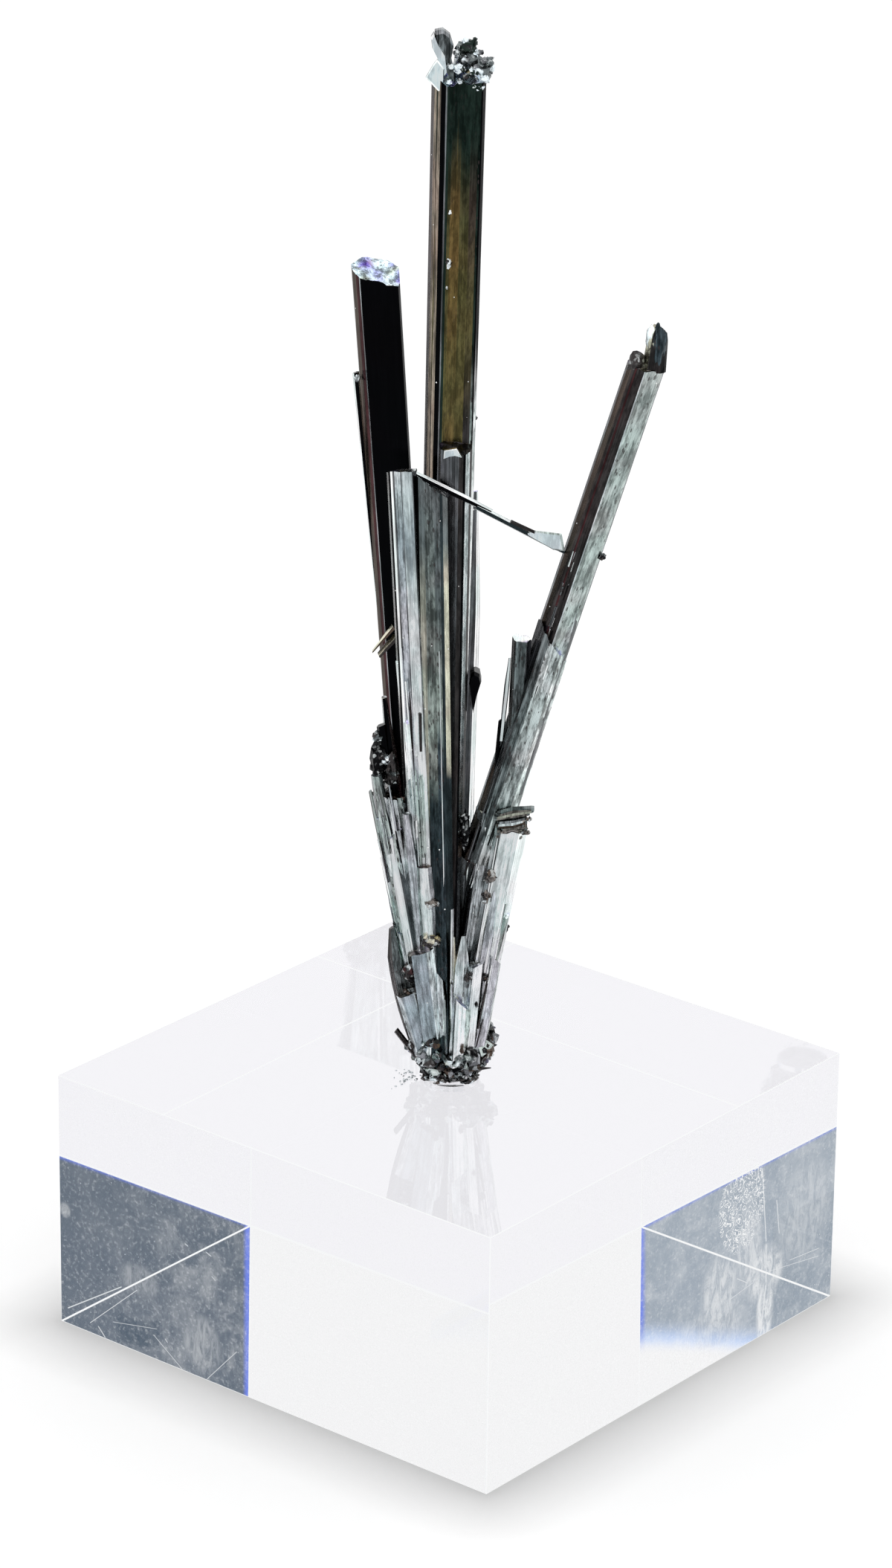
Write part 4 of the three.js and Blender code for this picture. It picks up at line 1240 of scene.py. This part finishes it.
def layered_top():
    """The rough brown plates stacked on the broken end of the front right prism."""
    rng = random.Random(17)
    finishes = (DARK_BREAK, BROWN, SILVER, GREY, DARK_BREAK, TAN)
    plates = 13
    made = []
    for i in range(plates):
        share = i / (plates - 1)
        z = 23.9 + 2.6 * share
        left = 4.4 - 0.7 * share + rng.uniform(-0.3, 0.2)
        right = 5.9 + 0.95 * share + rng.uniform(-0.35, 0.3)
        rise = 0.35 + rng.uniform(-0.25, 0.35)
        middle = 0.5 * (left + right) + rng.uniform(-0.4, 0.4)
        sag = rng.uniform(-0.2, 0.1)
        outline = [
            (left, z), (middle, z + 0.5 * rise + sag), (right, z + rise), (right, z + rise + 0.22),
            (middle, z + 0.5 * rise + 0.28 + sag), (left, z + 0.24),
        ]
        y = -3 + 0.5 * share + rng.uniform(-0.15, 0.15)
        made.append(slab(outline, y, rng.uniform(0.6, 1.1), finishes[i % len(finishes)],
                         rng.choice((DARK_BREAK, SLATE, BROWN)), 700 + i, 0.1))
    for x, z, size in ((4.2, 24.6, 0.5), (5.3, 24, 0.45), (6.4, 25, 0.5), (6.6, 26.3, 0.35)):
        made += cluster((x, -2.5, z), size, (1.2, 0.9, 0.6), (DARK_BREAK, BROWN, LEAD),
                        720 + int(10 * x), 6)
    return made


def tip_chips():
    """The broken chips on the tall prism's top."""
    spots = [
        ((0.35, 4.2, 94.9), 0.8, GREEN_BLACK), ((0.3, 4, 94), 0.9, SLATE),
        ((0.1, 4.3, 95.5), 0.42, PAINTED_ICE_HIGHLIGHT), ((0.8, 4.3, 95.4), 0.5, GREEN_BLACK),
        ((-0.3, 4.2, 95.1), 0.5, SLATE), ((0.1, 3.2, 94.2), 0.45, STEEL),
        ((1.3, 3.9, 94.6), 0.42, STEEL), ((1, 3.8, 94.7), 0.36, PAINTED_ICE_HIGHLIGHT),
        ((2.15, 3.6, 93.8), 0.62, SLATE), ((1.7, 3.5, 94), 0.45, STEEL),
        ((2.35, 3.4, 93.3), 0.4, PAINTED_ICE_HIGHLIGHT), ((1.3, 2.9, 93.1), 0.62, PAINTED_ICE_HIGHLIGHT), ((1.8, 2.7, 92.6), 0.55, PAINTED_ICE_HIGHLIGHT),
        ((1.4, 2.5, 91.9), 0.45, PAINTED_ICE_HIGHLIGHT), ((0.6, 3, 93.1), 0.5, BRASS), ((-0.4, 3, 93.4), 0.62, PAINTED_ICE_HIGHLIGHT),
        ((-1.1, 3.1, 93.6), 0.45, SILVER), ((-0.3, 2.5, 92.4), 0.4, PAINTED_ICE_HIGHLIGHT),
        ((-1.2, 2.7, 92.3), 0.34, PAINTED_ICE_HIGHLIGHT), ((0.9, 2.4, 92.1), 0.36, GREEN_GREY),
        ((-0.2, 4.6, 93.6), 0.9, LEAD), ((1, 5, 93.2), 0.9, SLATE), ((-0.6, 4, 94.5), 0.5, PAINTED_HIGHLIGHT),
        ((2, 4.2, 92.9), 0.6, LEAD), ((1.5, 3.7, 93), 1, SLATE), ((0.2, 2.7, 92.8), 0.4, COAL),
        ((1, 3, 93.6), 0.36, GREY),
    ]
    squash = (1, 0.9, 0.9)
    made = []
    for i, (place, size, finish) in enumerate(spots):
        if size < 0.7:
            made += cluster(place, size, squash, (finish, finish, GREEN_BLACK, PAINTED_ICE_HIGHLIGHT), 80 + i, 6)
        else:
            made.append(lump(place, size, finish, 80 + i, squash, 2, 0.7))
    return made


CRUST_TONES = (COAL, SLATE, LEAD, STEEL, PAINTED_BLACK, COAL, SILVER, BROWN, GREEN_GREY, GREY)


def collar(rng):
    """The ring of grains that rests on the glue."""
    made = []
    for i in range(70):
        angle = 2 * math.pi * i / 70 + rng.uniform(-0.04, 0.04)
        place = Vector((math.cos(angle), 0.95 * math.sin(angle), 0)) * rng.uniform(1.85, 2.35)
        place.z = rng.uniform(0.78, 1.1)
        size = rng.uniform(0.22, 0.34)
        made.append(grain(place, size, rng.choice(CRUST_TONES), 900 + i, (1, 1, 0.8), 0.8))
    return made


def heap(rng):
    """Grains and stubby crystals by turns, wider and higher up to where the prisms part."""
    made = []
    for i in range(260):
        angle = rng.uniform(0, 2 * math.pi)
        share = rng.uniform(0, 1) ** 0.8
        radius = 2.05 + 1.55 * math.sin(min(1, 1.5 * share) * math.pi / 2) + rng.uniform(-0.4, 0.05)
        high = 0.85 + 3.4 * share + 0.5 * math.sin(3 * angle + 1) * share
        place = Vector((radius * math.cos(angle), 0.93 * radius * math.sin(angle), high))
        size = rng.uniform(0.26, 0.72)
        if i % 2:
            made.append(grain(place, size, rng.choice(CRUST_TONES), 200 + i))
            continue
        out = Vector((math.cos(angle), math.sin(angle), rng.uniform(-0.5, 0.9)))
        out += Vector((rng.uniform(-0.9, 0.9), rng.uniform(-0.9, 0.9), 0))
        out = out.normalized() * size
        made.append(lath(place - out * 0.9, place + out * 0.8, size * 1.2, size * 0.9,
                         rng.choice(CRUST_TONES), rng.uniform(0, 90), 1, 0.1,
                         (rng.uniform(-0.8, 0.8), rng.uniform(-0.8, 0.8)), 400 + i,
                         rng.choice(CRUST_TONES)))
    return made


def low_grains(rng):
    """The dark grains in front that reach down past the glue, largest at the sides, and near-white
    ones among them that are painted highlights.
    """
    made = []
    for i in range(44):
        angle = math.radians(rng.uniform(-165, -15))
        aside = abs(math.cos(angle))
        place = Vector((math.cos(angle), math.sin(angle), 0)) * rng.uniform(2.2, 2.5)
        place.z = rng.uniform(0.1, 0.6) + 0.15 * (1 - aside)
        finish = rng.choice((PAINTED_BLACK, COAL, PAINTED_ICE_HIGHLIGHT, SLATE, COAL, BROWN))
        size = rng.uniform(0.12, 0.2) + 0.14 * aside
        made.append(grain(place, size, finish, 1000 + i, (1.3, 1.3, 0.8), 0.8))
    return made


def foot_druse():
    """The crust of small grains and stubby crystals round the foot, down to the glue."""
    rng = random.Random(7)
    return [
        lump((0, 0, 2.6), 2.7, COAL, 90, (1, 0.95, 0.8), 3), *collar(rng), *heap(rng),
        *low_grains(rng),
        lath((-3, -1.4, 2.3), (-5.05, -1.4, 5.1), 0.6, 0.5, COAL, narrow=0.9, taper=0.1, seed=91),
        *cluster((-3.6, -1.5, 3.7), 0.6, (0.9, 0.8, 0.9), (LEAD, COAL, SILVER), 94),
        *cluster((3.3, -1.4, 3.3), 0.85, (1, 0.8, 0.8), (BROWN, COAL, LEAD), 92),
        lath((2.2, -2, 1.6), (3.6, -2.1, 1.75), 0.5, 0.3, COAL, narrow=1, taper=0.8, seed=93),
    ]


def make_root():
    """The stub of the spray that stands in the glued socket."""
    radius, sides = 1.7, 10
    angles = [2 * math.pi * i / sides for i in range(sides)]
    section = [(radius * math.cos(a), radius * math.sin(a), ROOT) for a in angles]
    return crystal((0, 0, -1.1), (0, 0, 2), section, strip=9, jag=0, relief=0.15, seed=95)


def bodies(form):
    """The sets of joined vertices."""
    unseen = set(form.verts)
    found = []
    while unseen:
        body = {unseen.pop()}
        edge = list(body)
        while edge:
            touching = {e.other_vert(v) for v in edge for e in v.link_edges} - body
            body |= touching
            edge = list(touching)
        unseen -= body
        found.append(body)
    return found


def tidy_mesh(mesh):
    """Collapse the slivers that joining leaves behind, and drop what touches nothing."""
    form = bmesh.new()
    form.from_mesh(mesh)
    bmesh.ops.dissolve_degenerate(form, dist=0.0002, edges=form.edges[:])
    wires = [e for e in form.edges if not e.link_faces]
    bmesh.ops.delete(form, geom=wires, context="EDGES")
    body = max(bodies(form), key=len)
    bmesh.ops.delete(form, geom=[v for v in form.verts if v not in body], context="VERTS")
    form.to_mesh(mesh)
    form.free()


def make_spray():
    """Every crystal, splinter and grain in one closed mesh."""
    solids = [
        *main_crystals(), *lower_crystals(), *back_crystals(), *splinters(),
        *needle_and_fragments(), *tip_chips(), *layered_top(), *clots(), *foot_druse(),
    ]
    mesh = joined("spray", make_root(), solids)
    tidy_mesh(mesh)
    mesh.transform(SPRAY_FRAME)
    make_piece("stibnite_crystals", mesh, "stibnite_spray")


def make_specks():
    """Crumbs shed on the block's top, beside the foot."""
    rng = random.Random(12)
    form = bmesh.new()
    for _ in range(34):
        size = rng.uniform(0.04, 0.13)
        place = Vector((rng.gauss(-3.9, 0.7), rng.gauss(-0.6, 1.3), 0.8 * size))
        spin = Matrix.Rotation(rng.uniform(0, 3), 4, "Z") @ Matrix.Diagonal((1.6, 1, 0.8, 1))
        bmesh.ops.create_icosphere(
            form, subdivisions=1, radius=size, matrix=Matrix.Translation(place) @ spin
        )
    mesh = new_mesh("specks", form)
    mesh.transform(SPRAY_FRAME)
    paint_tint(mesh, [LEAD.tint] * len(mesh.loops))
    mesh.materials.append(CRUST)
    make_piece("shed_specks", mesh)


make_spray()
make_specks()

# ---- glue

# The bead's section, in millimetres from the socket's axis and up from the block's top. Above
# this height its outline sways.
GLUE_PROFILE = (
    (1.80, -1.42), (2.45, -1.42), (2.45, 0.02), (2.42, 0.18), (2.30, 0.34), (2.12, 0.44),
    (1.95, 0.48), (1.80, 0.46),
)
GLUE_SWAYS = 0.1


def glue_material():
    """Clear set glue, a little cloudy in places and wavy on the surface."""
    material, n, shader = new_material("glue")
    place = n.place()
    haze = n.ramp(n.noise(place, 900.0, 3.0, 0.6), 0.40, 0.65)
    waves = n.noise(place, 500.0, 2.0)
    n.set(shader, {
        "Base Color": n.mix(haze, grey(0.985), grey(0.93, (1.0, 1.0, 1.01))),
        "Roughness": n.line(haze, 0.12, 0.03),
        "Normal": n.bump(waves, 0.05 * MM, 0.4),
        "IOR": 1.48,
        "Transmission Weight": 1.0,
    })
    return material


def make_glue():
    """A clear bead of set glue that fills the socket and stands proud round the root."""
    points, faces = [], []
    count = len(GLUE_PROFILE)
    for i in range(ROUND_STEPS):
        angle = 2 * math.pi * i / ROUND_STEPS
        sway = 1 + 0.02 * math.sin(3 * angle + 1) + 0.012 * math.sin(7 * angle)
        for radius, high in GLUE_PROFILE:
            r = radius * (sway if high > GLUE_SWAYS else 1.0)
            points.append((r * math.cos(angle), r * math.sin(angle), high))
        here, there = i * count, (i + 1) % ROUND_STEPS * count
        for j in range(count):
            k = (j + 1) % count
            faces.append((here + j, there + j, there + k, here + k))
    mesh = bpy.data.meshes.new("glue")
    mesh.from_pydata(points, [], faces)
    mesh.transform(SPRAY_FRAME)
    mesh.shade_smooth()
    mesh.materials.append(glue_material())
    make_piece("glue_bead", mesh, "adhesive_ring")


make_glue()
